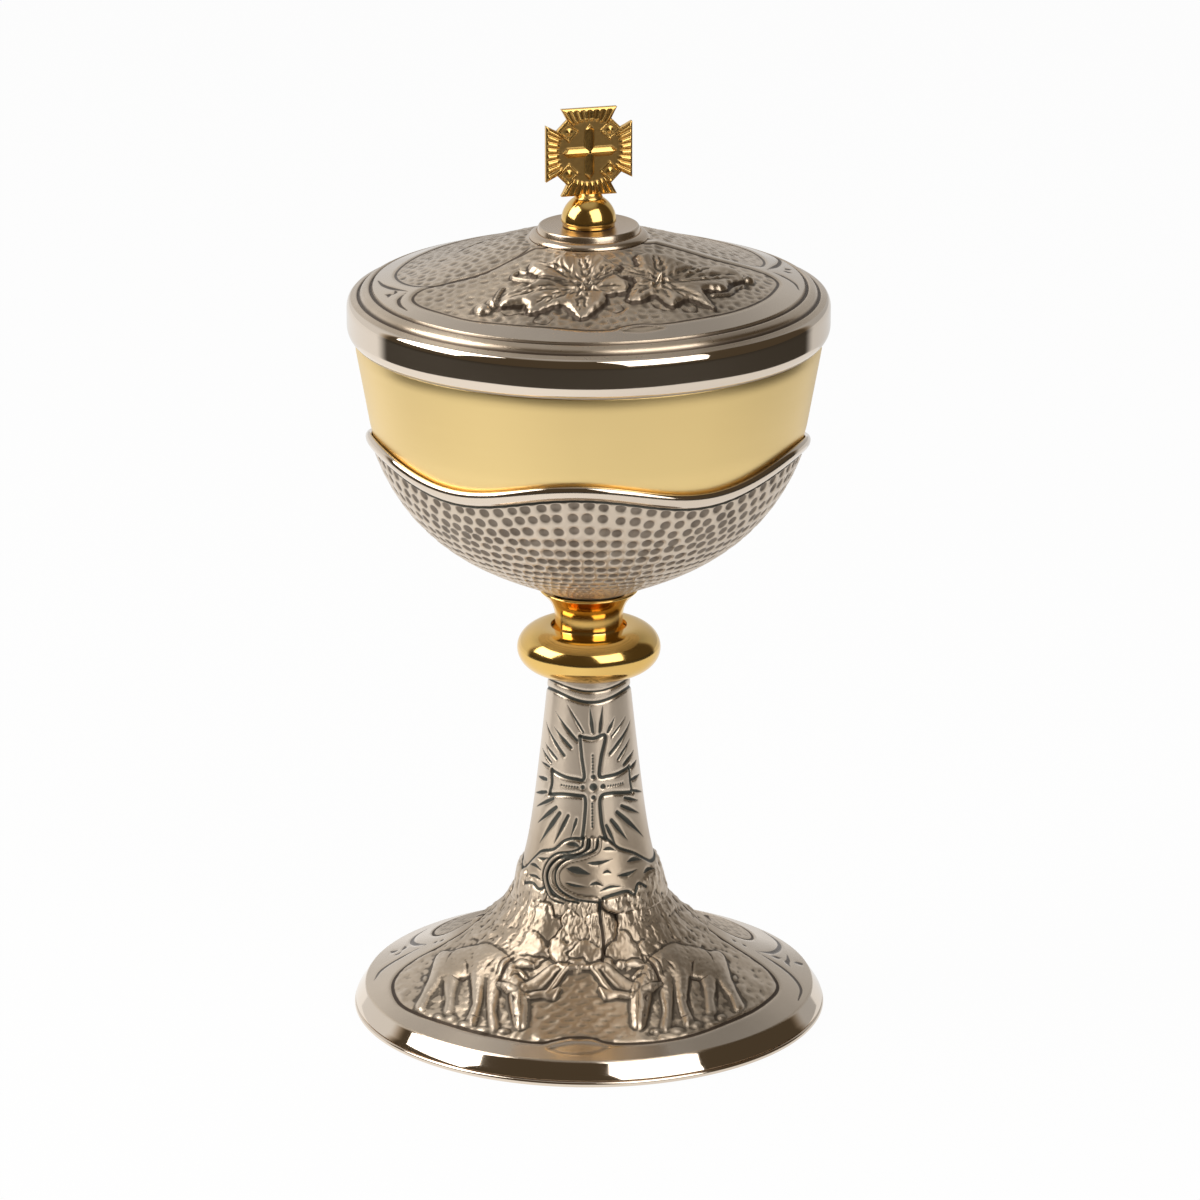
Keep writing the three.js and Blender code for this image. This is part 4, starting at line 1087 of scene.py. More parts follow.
def cup_bowl():
    wall = cup_wall()
    wall = wall[wall[:, 0] > FLOOR_EDGE]
    floor = (0, CALYX_FOOT + FLOOR_HEIGHT)
    bottom = curve(floor, (1, 0), 12, wall[0], wall[1] - wall[0], 6, 16)
    outside = spaced(joined(bottom, wall), CUP_STEP)
    inner = offset(outside, -CUP_WALL)
    inner[:, 0] = np.maximum(inner[:, 0], 0)
    inner[0] = (0, floor[1] + CUP_WALL)
    outside[-1] = (CUP_RADIUS, CUP_MOUTH + LEDGE)
    inner[-1] = (CUP_RADIUS - CUP_WALL, CUP_MOUTH + LEDGE)
    return turned("gilt_cup", softened(joined(outside, inner[::-1]), 0.35), CUP_FACETS)


# %% [markdown]
# The holder is thin sheet, hammered all over with rows of round punch marks, and its upper edge is
# rolled over in five waves. The marks are real hollows, set in rows that follow the wavy edge and grow
# level further down.

# %% Measure the holder's edge
WAVES = 5
WAVE_RISE = 2.35
WAVE_TURN = math.radians(-2.4)
EDGE_HEIGHT = CALYX_FOOT + 41.85
BAND = 4.0
EDGE_STEPS = 17
EDGE_BULGE = 1.35
HOLDER_FACETS = 600
HOLDER_STEP = 0.48
MARK_COLUMNS, MARK_ROWS = 86, 15
MARK_STEP = 3.6
MARK_SIZE = 1.46
MARK_DEPTH, MARK_WEB, MARK_REACH = 0.60, 0.08, 1.25


def wave_at(angle):
    return WAVE_RISE * np.cos(WAVES * (angle - WAVE_TURN))


# %% Set out the hammer marks
def hammer_marks(path, edge_height):
    along = lengths(path)
    edge = np.interp(edge_height, path[:, 1], along)
    centres, sizes = [], []
    for column in range(MARK_COLUMNS):
        for row in range(MARK_ROWS):
            calm = 1 - faded(row, 0, 5)
            aside = abs((column + MARK_COLUMNS / 2 - 1) % MARK_COLUMNS - MARK_COLUMNS / 2)
            shift = 0.5 * max(faded(row, 6, 9), faded(aside, 2, 7)) * (row % 2)
            turn = 2 * math.pi * (column + shift) / MARK_COLUMNS
            turn += math.radians(chance.uniform(-0.45, 0.45))
            stop = edge - 1.75 - MARK_STEP * row + 1.13 * wave_at(turn) * calm + chance.uniform(-0.3, 0.3)
            radius = np.interp(stop, along, path[:, 0])
            if stop > 6:
                height = np.interp(stop, along, path[:, 1])
                centres.append((radius * math.sin(turn), -radius * math.cos(turn), height))
                widest = 0.45 * 2 * math.pi * radius / MARK_COLUMNS
                sizes.append(min(MARK_SIZE, widest) * chance.uniform(0.9, 1.05))
    return np.array(centres), np.array(sizes)


# %% Draw the holder's rolled edge
def rolled_edge(wall, outer, foot):
    share = 0.5 - 0.5 * np.cos(np.pi * np.linspace(0.06, 0.94, EDGE_STEPS))
    heights = foot + BAND * share
    bulge = EDGE_BULGE * (1 - (2 * share - 1) ** 2) ** 0.62
    bead = np.column_stack([radius_at(wall, heights) + outer - 0.20 + bulge, heights])
    groove = [(radius_at(wall, foot - 0.28) + outer - 0.14, foot - 0.28),
              (radius_at(wall, foot) + outer - 0.34, foot - 0.05)]
    return joined(groove, bead, (radius_at(wall, EDGE_HEIGHT) + PIECE_GAP + 0.3, EDGE_HEIGHT))


# %% Wave the edge and punch the marks
def wave_holder(spots, angle, radius, wall, foot):
    rise = wave_at(angle) * faded(spots[:, 2], CALYX_FOOT + 13, foot - 1)
    slid = radius + radius_at(wall, spots[:, 2] + rise) - radius_at(wall, spots[:, 2])
    spots[:, :2] *= (slid / radius)[:, None]
    spots[:, 2] += rise


def punched(spots, among, skin, foot):
    centres, sizes = hammer_marks(skin, foot)
    tree = tree_of(centres)
    height, pit = np.zeros(len(spots)), np.zeros(len(spots))
    for i in among:
        _, mark, far = tree.find(spots[i])
        share = far / sizes[mark]
        pit[i] = max(0, 1 - share / 2)
        height[i] = MARK_WEB - MARK_DEPTH * (1 - min(share, MARK_REACH) ** 2 / MARK_REACH**2)
    print("hammer marks:", len(centres))
    return height, pit


# %% Raise the holder
def calyx():
    wall = cup_wall()
    outer = PIECE_GAP + HOLDER_WALL
    foot = EDGE_HEIGHT - BAND
    skin = offset(wall, outer)
    outside = spaced(skin[skin[:, 1] < foot - 0.4], HOLDER_STEP)
    within = offset(wall, PIECE_GAP)
    within = spaced(within[within[:, 1] < EDGE_HEIGHT - 0.4], 4.0)[::-1]
    profile = joined((ROD_HOLE, CALYX_FOOT), outside, rolled_edge(wall, outer, foot), within,
                     (ROD_HOLE, CALYX_FOOT + HOLDER_WALL))
    piece = turned("hammered_holder", profile, HOLDER_FACETS)
    spots, angle, radius = tighten(piece, 0.35)
    row = rows_of(spots, profile)
    skin_rows = (row >= 1) & (row <= len(outside))
    band = spots[:, 2] > foot - 0.45
    wave_holder(spots, angle, radius, wall, foot)
    height, pit = punched(spots, np.flatnonzero(skin_rows & ~band), skin, foot)
    push(piece, spots, outward_of(angle, side_ways(profile)[row]), height)
    keep(piece, "pit", pit)
    groove_line = np.abs(row - (len(outside) + 1.6))
    keep(piece, "mark", np.clip(1.05 - 0.30 * groove_line, 0, 1) * (row <= len(outside) + 4))
    keep(piece, "shine", np.where(band & (row > len(outside) + 2), 0.85, 0))
    keep(piece, "recess", np.zeros(len(spots)))
    return piece


# %% [markdown]
# The lid: a polished rim, a satin shoulder between two turned grooves, and a low dome with hammered
# panels and two vine leaves. The lid stands turned on the cup by some degrees, as it was put down.

# %% Draw the lid's profile
LID_TURN = math.radians(15.7)
LID_WALL = 1.3
LID_FACETS = 472
SHOULDER_FOOT = LID_FOOT + 11.35
SHOULDER_RISE, SHOULDER_WIDTH = 2.75, 5.2
SHOULDER_TOP = SHOULDER_FOOT + SHOULDER_RISE
SHOULDER_OUTER = RIM_RADIUS - 1.3
DOME_OUTER = SHOULDER_OUTER - SHOULDER_WIDTH
DOME_TOP_RADIUS = 17.2
DOME_STEP = 0.315
GROOVES = (1.64, 4.70)
GROOVE_DEPTH, GROOVE_HALF = 0.70, 0.40
SWELL_AT, SWELL = 3.17, 0.34


def shoulder():
    inset = np.linspace(0.25, SHOULDER_WIDTH, 40)
    lift = np.zeros_like(inset)
    for centre in GROOVES:
        lift -= GROOVE_DEPTH * np.exp(-(((inset - centre) / GROOVE_HALF) ** 2))
    lift += SWELL * np.exp(-((inset - SWELL_AT) ** 4))
    height = SHOULDER_FOOT + inset * SHOULDER_RISE / SHOULDER_WIDTH + lift
    return np.column_stack([SHOULDER_OUTER - inset, height])


# %% The lid's drawing, seen from above
LID_PANEL = [(9, -9.4), (20, -10.5), (28, -12), (38, -12.5), (42, -14), (43.4, -17.5), (42, -22), (37, -30),
             (30, -37), (22, -42), (12, -45.5), (5, -46.8), (0, -46.3), (-5, -46.8), (-8, -47.4), (-14, -46),
             (-22, -42), (-30, -37), (-38, -30), (-43, -22), (-46.5, -14), (-47, -8), (-44, -4.8), (-38, -6),
             (-30, -8.7), (-20, -7.8), (-14, -7)]
LID_BACK = [(-12, -4.4), (-20, -7.2), (-30, -9), (-37, -7), (-43, -3), (-46, 5), (-45.6, 15), (-41, 24),
            (-34, 32), (-24, 40), (-12, 45), (0, 46.8), (12, 45), (24, 40), (34, 32), (41, 24), (45.4, 15),
            (46, 4), (44, -4.5), (40, -8.8), (30, -8.6), (20, -7), (12, -6)]
LID_OVAL = [(-5.4, -48.6), (0, -47.6), (5.4, -48.6), (0, -49.9)]
OVAL_LINE = [(-5.4, -48.6), (-2.6, -47.8), (0, -47.55), (2.6, -47.8), (5.4, -48.6)]
LID_LINES = [
    ([(-49.8, 16), (-50, 10), (-49, 4), (-46.8, -2.4)], (0.3, 0.8, 1.0, 0.2)),
    ([(-46.8, -2.4), (-49.6, -5), (-50.4, -9), (-49.8, -14)], (0.2, 1.0, 0.8, 0.3)),
    ([(-51.6, 1.8), (-50.8, 0.4), (-51.6, -1.4)], (0.2, 1.2, 0.2)),
    ([(-50.2, -0.6), (-49.2, 0.2), (-49.0, 1.8)], (0.2, 1.0, 0.2)),
    ([(43, -10), (47, -4), (50, 2), (52, 9), (51, 16)], (0.2, 1.1, 1.0, 0.8, 0.3)),
    ([(43, -10), (46.4, -12), (48.4, -16), (48, -21)], (0.2, 1.0, 0.8, 0.3)),
    ([(48, -7.4), (49.6, -6.4), (51.2, -6.6)], (0.2, 1.4, 0.2)),
    ([(49.4, -4.8), (50.6, -3), (52, -2)], (0.2, 1.4, 0.2)),
    ([(-31, 13.5), (-26, 17.4), (-19, 17.6), (-12, 11.5)], (0.3, 0.9, 0.9, 0.3)),
]


# %% The lid's vine
LEFT_LEAF = [(-17.9, -13.4), (-14.6, -16.4), (-11.5, -14.9), (-6.5, -17.2), (-2.6, -17.4), (-0.2, -21.2),
             (1.6, -24.2), (0, -27.2), (1.8, -30.4), (-0.2, -33.8), (-4.8, -34.2), (-6.4, -37.6),
             (-13.2, -42.2), (-15.2, -38.4), (-17.2, -35), (-24.6, -35.6), (-25.2, -31.6), (-30.6, -28.8),
             (-28, -24.4), (-22, -23.8), (-19, -21.6), (-20.4, -17.4)]
LEFT_TIPS = [(-17.4, -15.4), (-7, -18.2), (-1, -22.8), (-0.6, -32.2), (-12.8, -40.6), (-23.4, -34.2),
             (-29, -26.8)]
RIGHT_LEAF = [(1, -22.4), (5.8, -23.4), (6.4, -19), (11.5, -16.6), (16.4, -18.6), (20.6, -20.8), (26, -18),
              (31.5, -18.4), (33.8, -22.6), (28.4, -27.2), (25.8, -31.6), (20, -33), (20.8, -40.6),
              (15, -37), (9.4, -40.4), (6.8, -35.6), (3, -37.8), (-0.6, -37.2), (1.6, -32.4), (3.6, -29),
              (0, -26.6)]
RIGHT_TIPS = [(11.6, -18), (25.5, -19.4), (32, -22.6), (19.6, -38.8), (9.2, -38.8), (0.8, -36.2),
              (1.8, -24.4)]
LEAF_WARMTH = [((-9, -27), 15), ((9, -29), 13)]
BUDS = [((-34.4, -27.4), (1.8, 2.4), 25), ((-31.6, -26.4), (0.9, 2.2), 20), ((34.4, -22.4), (1.2, 2.0), -60)]
TENDRILS = [
    ([(-9, -30), (-19, -22.6), (-24, -17.6), (-22.4, -15.4), (-20.6, -17.2)], 1.1),
    ([(9, -29), (0, -26.4), (-9, -30)], 1.2),
    ([(22, -33.5), (26.4, -32), (29, -28.6), (32.6, -25.4)], 1.0),
    ([(-30.4, -24.6), (-28.8, -22), (-27.4, -20.2)], 1.0),
]
CURLS = [
    [(-31, -29.5), (-29.6, -32.6), (-26.6, -33.4), (-24.6, -35.6)],
    [(-22, -35.5), (-24.6, -38), (-22, -40.4), (-19.4, -38.6)],
    [(11, -38), (12.6, -41), (15.6, -41.4), (16.2, -39), (14.2, -38.2)],
    [(5, -37.6), (6.8, -40.4), (9.4, -41.6)],
    [(-3, -36.8), (-2.2, -39.6), (-4.6, -40.8), (-6.4, -39.2)],
]


# %% Chase the lid
def chase_lid(sheet):
    radius = np.hypot(*sheet.spots.T)
    dome = faded(DOME_OUTER - radius, 0.4, 1.2)
    front = faded(covered(sheet.spots, flowing(LID_PANEL, True, 2)), 0.5, 1.1)
    back = faded(covered(sheet.spots, flowing(LID_BACK, True, 2)), 0.5, 1.1)
    panels = np.maximum(front, back) * dome * faded(radius, 15.0, 15.8)
    sheet.height -= 0.22 * panels
    hammer(sheet, panels, 2.8, 0.38, 0.26)
    leaf(sheet, (9.5, -29.5), RIGHT_LEAF, RIGHT_TIPS, 1.3)
    leaf(sheet, (-9.5, -30), LEFT_LEAF, LEFT_TIPS, 1.45)
    for centre, halves, turn in BUDS:
        sheet.lump(centre, halves, turn, 1.1, 0.7)
    sheet.lay(0.1)
    for points, width in TENDRILS:
        tendril(sheet, points, width)
    for points in CURLS:
        sheet.engrave(points, (0.3, 0.7, 0.7, 0.3), 0.22, mark=0.7)
    sheet.engrave(LID_PANEL, 1.15, 0.38, closed=True, mark=0.62)
    sheet.engrave(LID_BACK, 1.05, 0.34, closed=True, mark=0.62)
    sheet.height -= 0.35 * faded(covered(sheet.spots, flowing(LID_OVAL, closed=True)), 0.1, 0.9)
    sheet.engrave(OVAL_LINE, (0.2, 0.5, 0.2), 0.2)
    for points, width in LID_LINES:
        sheet.engrave(points, width, 0.32)


# %% Draw the lid's outside and inside
UNDERCUT_WIDTH, UNDERCUT_HEIGHT = 1.9, 3.2
ROLL_LEVEL, ROLL_WIDTH, ROLL_HEIGHT = 8.7, 1.3, 2.65
STUD_HOLE = 2.3
FLAT_TOP = 3.2
SLANT_WALL = 1.56


def lid_outside():
    undercut_centre = (RIM_RADIUS - UNDERCUT_WIDTH, LID_FOOT + LEDGE + UNDERCUT_HEIGHT)
    undercut = arc(undercut_centre, UNDERCUT_WIDTH, UNDERCUT_HEIGHT, -90, 0, 14)
    roll = arc((SHOULDER_OUTER, LID_FOOT + ROLL_LEVEL), ROLL_WIDTH, ROLL_HEIGHT, 0, 78, 12)
    crown = [(DOME_OUTER, SHOULDER_TOP), (DOME_TOP_RADIUS, LID_TOP), (DOME_TOP_RADIUS - FLAT_TOP, LID_TOP)]
    return joined(undercut, roll), shoulder(), spaced(np.array(crown), DOME_STEP)


def lid_inside():
    inner, ring = RIM_RADIUS - 1.5, SKIRT_RADIUS - 1.0
    return joined((STUD_HOLE, LID_TOP), (STUD_HOLE, LID_TOP - LID_WALL),
                  (DOME_TOP_RADIUS, LID_TOP - LID_WALL), (DOME_OUTER, SHOULDER_TOP - SLANT_WALL),
                  (inner, SHOULDER_FOOT - SLANT_WALL), (inner, LID_FOOT + LID_WALL),
                  (ring, LID_FOOT + LID_WALL))


# %% Read the lid from above, turned as it lies
def seen_on_lid(spots):
    c, s = math.cos(-LID_TURN), math.sin(-LID_TURN)
    x, y = spots[:, 0], spots[:, 1]
    return np.column_stack([c * x - s * y, s * x + c * y])


# %% Polish, darken and warm the lid
def polish_lid(piece, sheet, chased, rim, turned_edge):
    plain = np.zeros(len(rim))
    smooth = 1 - faded(np.abs(sheet.height), 0.0, 0.05)
    plain[chased] = 0.68 * smooth - 0.45 * faded(sheet.height, 0.1, 0.4)
    keep(piece, "shine", np.where(rim, 1.0, np.where(turned_edge, 0.08, plain)))


def darken_grooves(piece, radius, turned_edge):
    groove = np.min([np.abs(SHOULDER_OUTER - radius - centre) for centre in GROOVES], axis=0)
    marks = np.array([value.value for value in piece.data.attributes["mark"].data])
    marks = np.where(turned_edge, np.clip(0.5 - (groove - GROOVE_HALF) / 1.8, 0, 1), marks)
    piece.data.attributes["mark"].data.foreach_set("value", marks.astype(np.float32))


def warm_leaves(piece, sheet, chased):
    warm = np.zeros(len(piece.data.vertices))
    for heart, reach in LEAF_WARMTH:
        close = np.exp(-((np.hypot(*(sheet.spots - heart).T) / reach) ** 4))
        warm[chased] += 0.45 * close * (sheet.height > 0.35)
    keep(piece, "warm", np.clip(warm, 0, 1))


# %% Turn the lid
def lid_shell():
    seat_radius = CUP_RADIUS - CUP_WALL - 0.4
    seat = [(SKIRT_RADIUS - 1.0, LID_FOOT), (seat_radius, LID_FOOT), (seat_radius, LID_FOOT + LEDGE)]
    edge, slope, dome = lid_outside()
    profile = joined(seat, edge, slope, dome, lid_inside())
    piece = turned("chased_lid", profile, LID_FACETS)
    spots, angle, radius = tighten(piece, 0.35)
    row = rows_of(spots, profile)
    first_edge = len(seat)
    first_slope = first_edge - 1 + len(edge)
    first_dome = first_slope + 1 + len(slope)
    last = first_dome - 1 + len(dome)
    chased = np.flatnonzero((row >= first_dome) & (row <= last))
    sheet = Sheet(seen_on_lid(spots[chased]))
    chase_lid(sheet)
    height = np.zeros(len(spots))
    from_edge = (row[chased] - first_dome) * DOME_STEP
    height[chased] = sheet.height * faded(from_edge, 0.3, 1.0) * faded(last - row[chased], 0, 3)
    height[chased] = blurred(piece, height, 1)[chased] * 1.03
    push(piece, spots, outward_of(angle, side_ways(profile)[row]), height)
    note_marks(piece, sheet, chased, height)
    rim = (row >= first_edge) & (row < first_slope)
    turned_edge = (row >= first_slope) & (row <= first_dome)
    polish_lid(piece, sheet, chased, rim, turned_edge)
    darken_grooves(piece, radius, turned_edge)
    warm_leaves(piece, sheet, chased)
    return piece


# %% Turn the skirt, disc and ball
SKIRT_WALL, SKIRT_LIP = 1.0, 1.3
STEP_RISE, STEP_RADIUS = 1.25, 13.05
DISC_RING, DISC_BULGE = 14.3, 14.8
BALL_FACETS = 128
BALL_BASE, BALL_FLAT = 6.5, 3.65
STUD_DEPTH = 3.9
PIN_HOLE, PIN_DEPTH = 1.3, 1.8


def lid_skirt():
    lip = SKIRT_TOP - 1
    outer = SKIRT_RADIUS - SKIRT_LIP
    inner = outer - SKIRT_WALL
    profile = joined((inner, SKIRT_FOOT), (outer, SKIRT_FOOT), (outer, lip), (SKIRT_RADIUS, lip),
                     (SKIRT_RADIUS, SKIRT_TOP), (inner, SKIRT_TOP))
    return turned("gilt_skirt", softened(profile, 0.2), CUP_FACETS)


def lid_boss():
    base, step, top = DISC_FOOT, DISC_FOOT + STEP_RISE, DISC_TOP
    ring = curve((DISC_BULGE, base - 0.22), (-0.1, 1), 0.85, (STEP_RADIUS, step), (-1, 0.1), 0.7, 12)
    stair = [(STEP_RADIUS - 0.1, step - 0.25), (12.8, step - 0.2), (12.76, step + 0.1), (12.5, top - 0.32),
             (12.3, top - 0.06), (12.05, top), (11.7, top - 0.07), (BALL_RADIUS + 0.4, top - 0.22)]
    profile = joined((STUD_HOLE, base), (DISC_RING, base), ring, stair, (STUD_HOLE, top - 0.3))
    piece = turned("silver_disc", softened(profile, 0.12), ROUND_FACETS)
    x, y, height = spots_of(piece).T
    # satin marks the disc: satin roughness, and a warm darker colour that is a painted reflection of the gold
    # ball and its surroundings
    keep(piece, "satin", np.where((height > top - 0.26) & (np.hypot(x, y) < 12.0), 1.0, 0.7))
    return piece


def finial_ball():
    top = math.degrees(math.acos(BALL_FLAT / BALL_RADIUS))
    stud, pin = BALL_FOOT + STUD_DEPTH, BALL_TOP - PIN_DEPTH
    half = arc((0, BALL_FOOT + 1), BALL_RADIUS, BALL_RADIUS, 1, top, 40)
    profile = joined((0, stud), (STUD_HOLE, stud), (STUD_HOLE, BALL_FOOT), (BALL_BASE, BALL_FOOT),
                     (BALL_BASE, BALL_FOOT + 0.6), (BALL_BASE + 0.12, BALL_FOOT + 0.8), half,
                     (PIN_HOLE, BALL_TOP), (PIN_HOLE, pin), (0, pin))
    return turned("gilt_ball", softened(profile, 0.1), BALL_FACETS)


# %% [markdown]
# The cross is cast and then chased: four arms that widen outwards and end in flutes like rays, a small
# raised cross in the middle, and a framed pad in each corner. It begins as a round disc, whose rings are
# pulled out to the outline; then its two faces are raised.

# %% Draw the cross
CROSS_TURN = LID_TURN
CROSS_SPAN, CROSS_ARM = 11.0, 7.1
CROSS_PLATE = 1.5
CROSS_FLUTES = 8
CROSS_RINGS = 44
ARM_WAIST, CORNER_DEPTH = 0.79, 0.745
ARM_SPOKES, SIDE_SPOKES, SLANT_SPOKES = 60, 14, 18
PAD_AT, PAD_HALF, PAD_HALF_WIDTH = 7.6, 2.1, 1.95
SMALL_CROSS_REACH, SMALL_CROSS_HALF = 6.9, 1.3


def cross_outline():
    waist, depth = CROSS_ARM * ARM_WAIST, CROSS_SPAN * CORNER_DEPTH
    corners = [(CROSS_ARM, -CROSS_SPAN), (waist, -depth), (depth, -waist), (CROSS_SPAN, -CROSS_ARM)]
    counts = (SIDE_SPOKES, SLANT_SPOKES, SIDE_SPOKES, ARM_SPOKES)
    spokes = []
    for quarter in range(4):
        turn = quarter * math.pi / 2
        c, s = math.cos(turn), math.sin(turn)
        ring = [(x * c - y * s, x * s + y * c) for x, y in corners + [(CROSS_SPAN, CROSS_ARM)]]
        for a, b, count in zip(ring, ring[1:], counts):
            for i in range(count):
                spokes.append(np.array(a) + (np.array(b) - a) * i / count)
    return np.array(spokes)


# %% Raise its faces
def cross_relief(x, y):
    wide, tall = np.abs(x), np.abs(y)
    reach = np.hypot(x, y)
    fan = np.where(wide > tall, y, x) / np.maximum(wide, tall) * CROSS_SPAN / CROSS_ARM
    flute = np.abs(np.cos(math.pi * CROSS_FLUTES / 2 * (fan + 1) + math.pi / 2))
    height = faded(reach, 7.4, 8.6) * (0.62 * flute**0.7 - 0.10)
    along, across = (wide + tall) / math.sqrt(2), (wide - tall) / math.sqrt(2)
    pad = np.minimum(PAD_HALF - np.abs(along - PAD_AT), PAD_HALF_WIDTH - np.abs(across))
    stud = 1.0 - np.hypot(along - 7.4, across)
    framed = 0.42 * faded(pad, 0, 0.25) - 0.30 * faded(pad, 0.45, 0.7) + 0.55 * np.clip(stud, 0, 1)
    height = np.where(pad > -0.15, framed, height)
    for far, side in ((wide, tall), (tall, wide)):
        half = SMALL_CROSS_HALF * np.clip((SMALL_CROSS_REACH - side) / SMALL_CROSS_HALF, 0.0, 1.0)
        roof = 0.95 * np.clip(1 - far / np.maximum(half, 1e-3), 0, 1) ** 0.75
        height = np.maximum(height, roof * (side < SMALL_CROSS_REACH))
    return height


# %% Shape the cross
def finial_cross():
    _, _, top = extent("finial_cross")
    turns = np.linspace(0, math.pi / 2, 5)
    rounding = [(1.0 - 0.045 * (1 - math.cos(turn)), 0.60 + 0.15 * math.sin(turn)) for turn in turns]
    face = [(r, CROSS_PLATE / 2) for r in np.linspace(0.94, 0, CROSS_RINGS)]
    front = rounding + face
    profile = np.array([(r, -z) for r, z in front[::-1]] + front)
    spokes = cross_outline()
    count = len(spokes)
    piece = turned("gilt_cross", profile, count)
    flat = spots_of(piece)
    share = np.hypot(flat[:, 0], flat[:, 1])
    place = (np.degrees(np.arctan2(flat[:, 1], flat[:, 0])) / 360 * count) % count
    index = np.round(place).astype(int) % count
    x, y = (spokes[index] * share[:, None]).T
    side = np.sign(flat[:, 2])
    raised = cross_relief(x, y) * (share < 0.965)
    worn = raised - 0.15 * faded(1 - share, 0.02, 0.06)
    depth = flat[:, 2] + side * worn
    height = top - CROSS_SPAN + y
    c, s = math.cos(CROSS_TURN), math.sin(CROSS_TURN)
    spots = np.column_stack([c * x + s * depth, s * x - c * depth, height]) * MM
    piece.data.vertices.foreach_set("co", spots.ravel())
    piece.data.update()
    keep(piece, "recess", np.clip(0.23 - 0.6 * raised, -0.5, 0.5) * (share < 0.97))
    return piece


# %% Turn its seat
SEAT_RISE, SEAT_PIN, SEAT_PIN_RADIUS = 1.5, 1.2, 0.95
SEAT_FACETS = 96


def cross_seat():
    base = BALL_TOP + 0.05
    top, pin = base + SEAT_RISE, base - SEAT_PIN
    side = curve((3.6, base), (0, 1), 0.5, (2.7, top), (-0.3, 1), 0.6, 10)
    profile = joined((0, pin), (SEAT_PIN_RADIUS, pin), (SEAT_PIN_RADIUS, base), side, (0, top))
    return turned("cross_seat", softened(profile, 0.1), SEAT_FACETS)


# %% Make the pieces
pieces = {
    "foot_ring": [foot_ring()],
    "foot_shell": [foot_shell(), stem_shell()],
    "knop": [knop()],
    "neck_collar": [neck_collar()],
    "calyx": [calyx()],
    "cup_bowl": [cup_bowl()],
    "lid_shell": [lid_shell()],
    "lid_skirt": [lid_skirt()],
    "lid_boss": [lid_boss()],
    "finial_ball": [finial_ball()],
    "finial_cross": [finial_cross(), cross_seat()],
}


# %% [markdown]
# Shader nodes are easier to read as arithmetic. A small class wraps the output of a node, so that adding
# or multiplying two of them adds the Math node that does it.

# %% Wrap shader sockets
class Signal:
    def __init__(self, board, socket):
        self.board = board
        self.socket = socket

    def math(self, operation, *values):
        return self.board.add("ShaderNodeMath", {"operation": operation}, dict(enumerate(values)))

    def __add__(self, other):
        return self.math("ADD", self, other)

    def __radd__(self, other):
        return self.math("ADD", other, self)

    def __sub__(self, other):
        return self.math("SUBTRACT", self, other)

    def __rsub__(self, other):
        return self.math("SUBTRACT", other, self)

    def __mul__(self, other):
        return self.math("MULTIPLY", self, other)

    def __rmul__(self, other):
        return self.math("MULTIPLY", other, self)

    def __truediv__(self, other):
        return self.math("DIVIDE", self, other)

    def __pow__(self, other):
        return self.math("POWER", self, other)

    def largest(self, other):
        return self.math("MAXIMUM", self, other)

    def between(self, low, high):
        settings = {"interpolation_type": "SMOOTHSTEP"}
        return self.board.add("ShaderNodeMapRange", settings, {0: self, 1: low, 2: high, 3: 0.0, 4: 1.0})


# %% A board that nodes are put on
class Board:
    def __init__(self, tree):
        self.tree = tree
        self.tree.nodes.clear()

    def add(self, kind, settings=None, inputs=None, output=0):
        node = self.tree.nodes.new(kind)
        for name, value in (settings or {}).items():
            setattr(node, name, value)
        for name, value in (inputs or {}).items():
            if isinstance(value, Signal):
                self.tree.links.new(value.socket, node.inputs[name])
            else:
                node.inputs[name].default_value = value
        return Signal(self, node.outputs[output]) if len(node.outputs) else node

    def attribute(self, name):
        return self.add("ShaderNodeAttribute", {"attribute_name": name}, output="Fac")

    def place(self):
        return self.add("ShaderNodeTexCoord", output="Object")

    def parts(self, vector):
        node = self.tree.nodes.new("ShaderNodeSeparateXYZ")
        self.tree.links.new(vector.socket, node.inputs[0])
        return [Signal(self, out) for out in node.outputs]

    def noise(self, vector, scale, detail=2.0, roughness=0.5):
        inputs = {"Vector": vector, "Scale": scale, "Detail": detail, "Roughness": roughness}
        return self.add("ShaderNodeTexNoise", {"noise_dimensions": "3D"}, inputs)

    def blend(self, share, first, second):
        first = first if isinstance(first, Signal) else (*first, 1)
        second = second if isinstance(second, Signal) else (*second, 1)
        return self.add("ShaderNodeMix", {"data_type": "RGBA"}, {0: share, 6: first, 7: second}, output=2)

    def surface(self, **inputs):
        named = {key.replace("_", " "): value for key, value in inputs.items()}
        shader = self.add("ShaderNodeBsdfPrincipled", None, named)
        self.add("ShaderNodeOutputMaterial", None, {0: shader})


# %% [markdown]
# Turned metal keeps fine lines that run round the axis. A noise that changes quickly with height and
# radius, and slowly along the other two ways, gives such lines on any turned piece.

# %% Lines from the lathe
LATHE_FINE, LATHE_SLOW = 7000.0, 60.0


def lathe_lines(board):
    x, y, z = board.parts(board.place())
    radius = (x * x + y * y) ** 0.5
    ways = {0: x * LATHE_SLOW, 1: y * LATHE_SLOW, 2: z * LATHE_FINE}
    stretched = board.add("ShaderNodeCombineXYZ", None, ways)
    inputs = {"Vector": stretched, "W": radius * LATHE_FINE, "Scale": 1.0, "Detail": 2.0, "Roughness": 0.5}
    return board.add("ShaderNodeTexNoise", {"noise_dimensions": "4D"}, inputs)


def metal(name):
    material = bpy.data.materials.new(name)
    material.use_nodes = True
    return material, Board(material.node_tree)


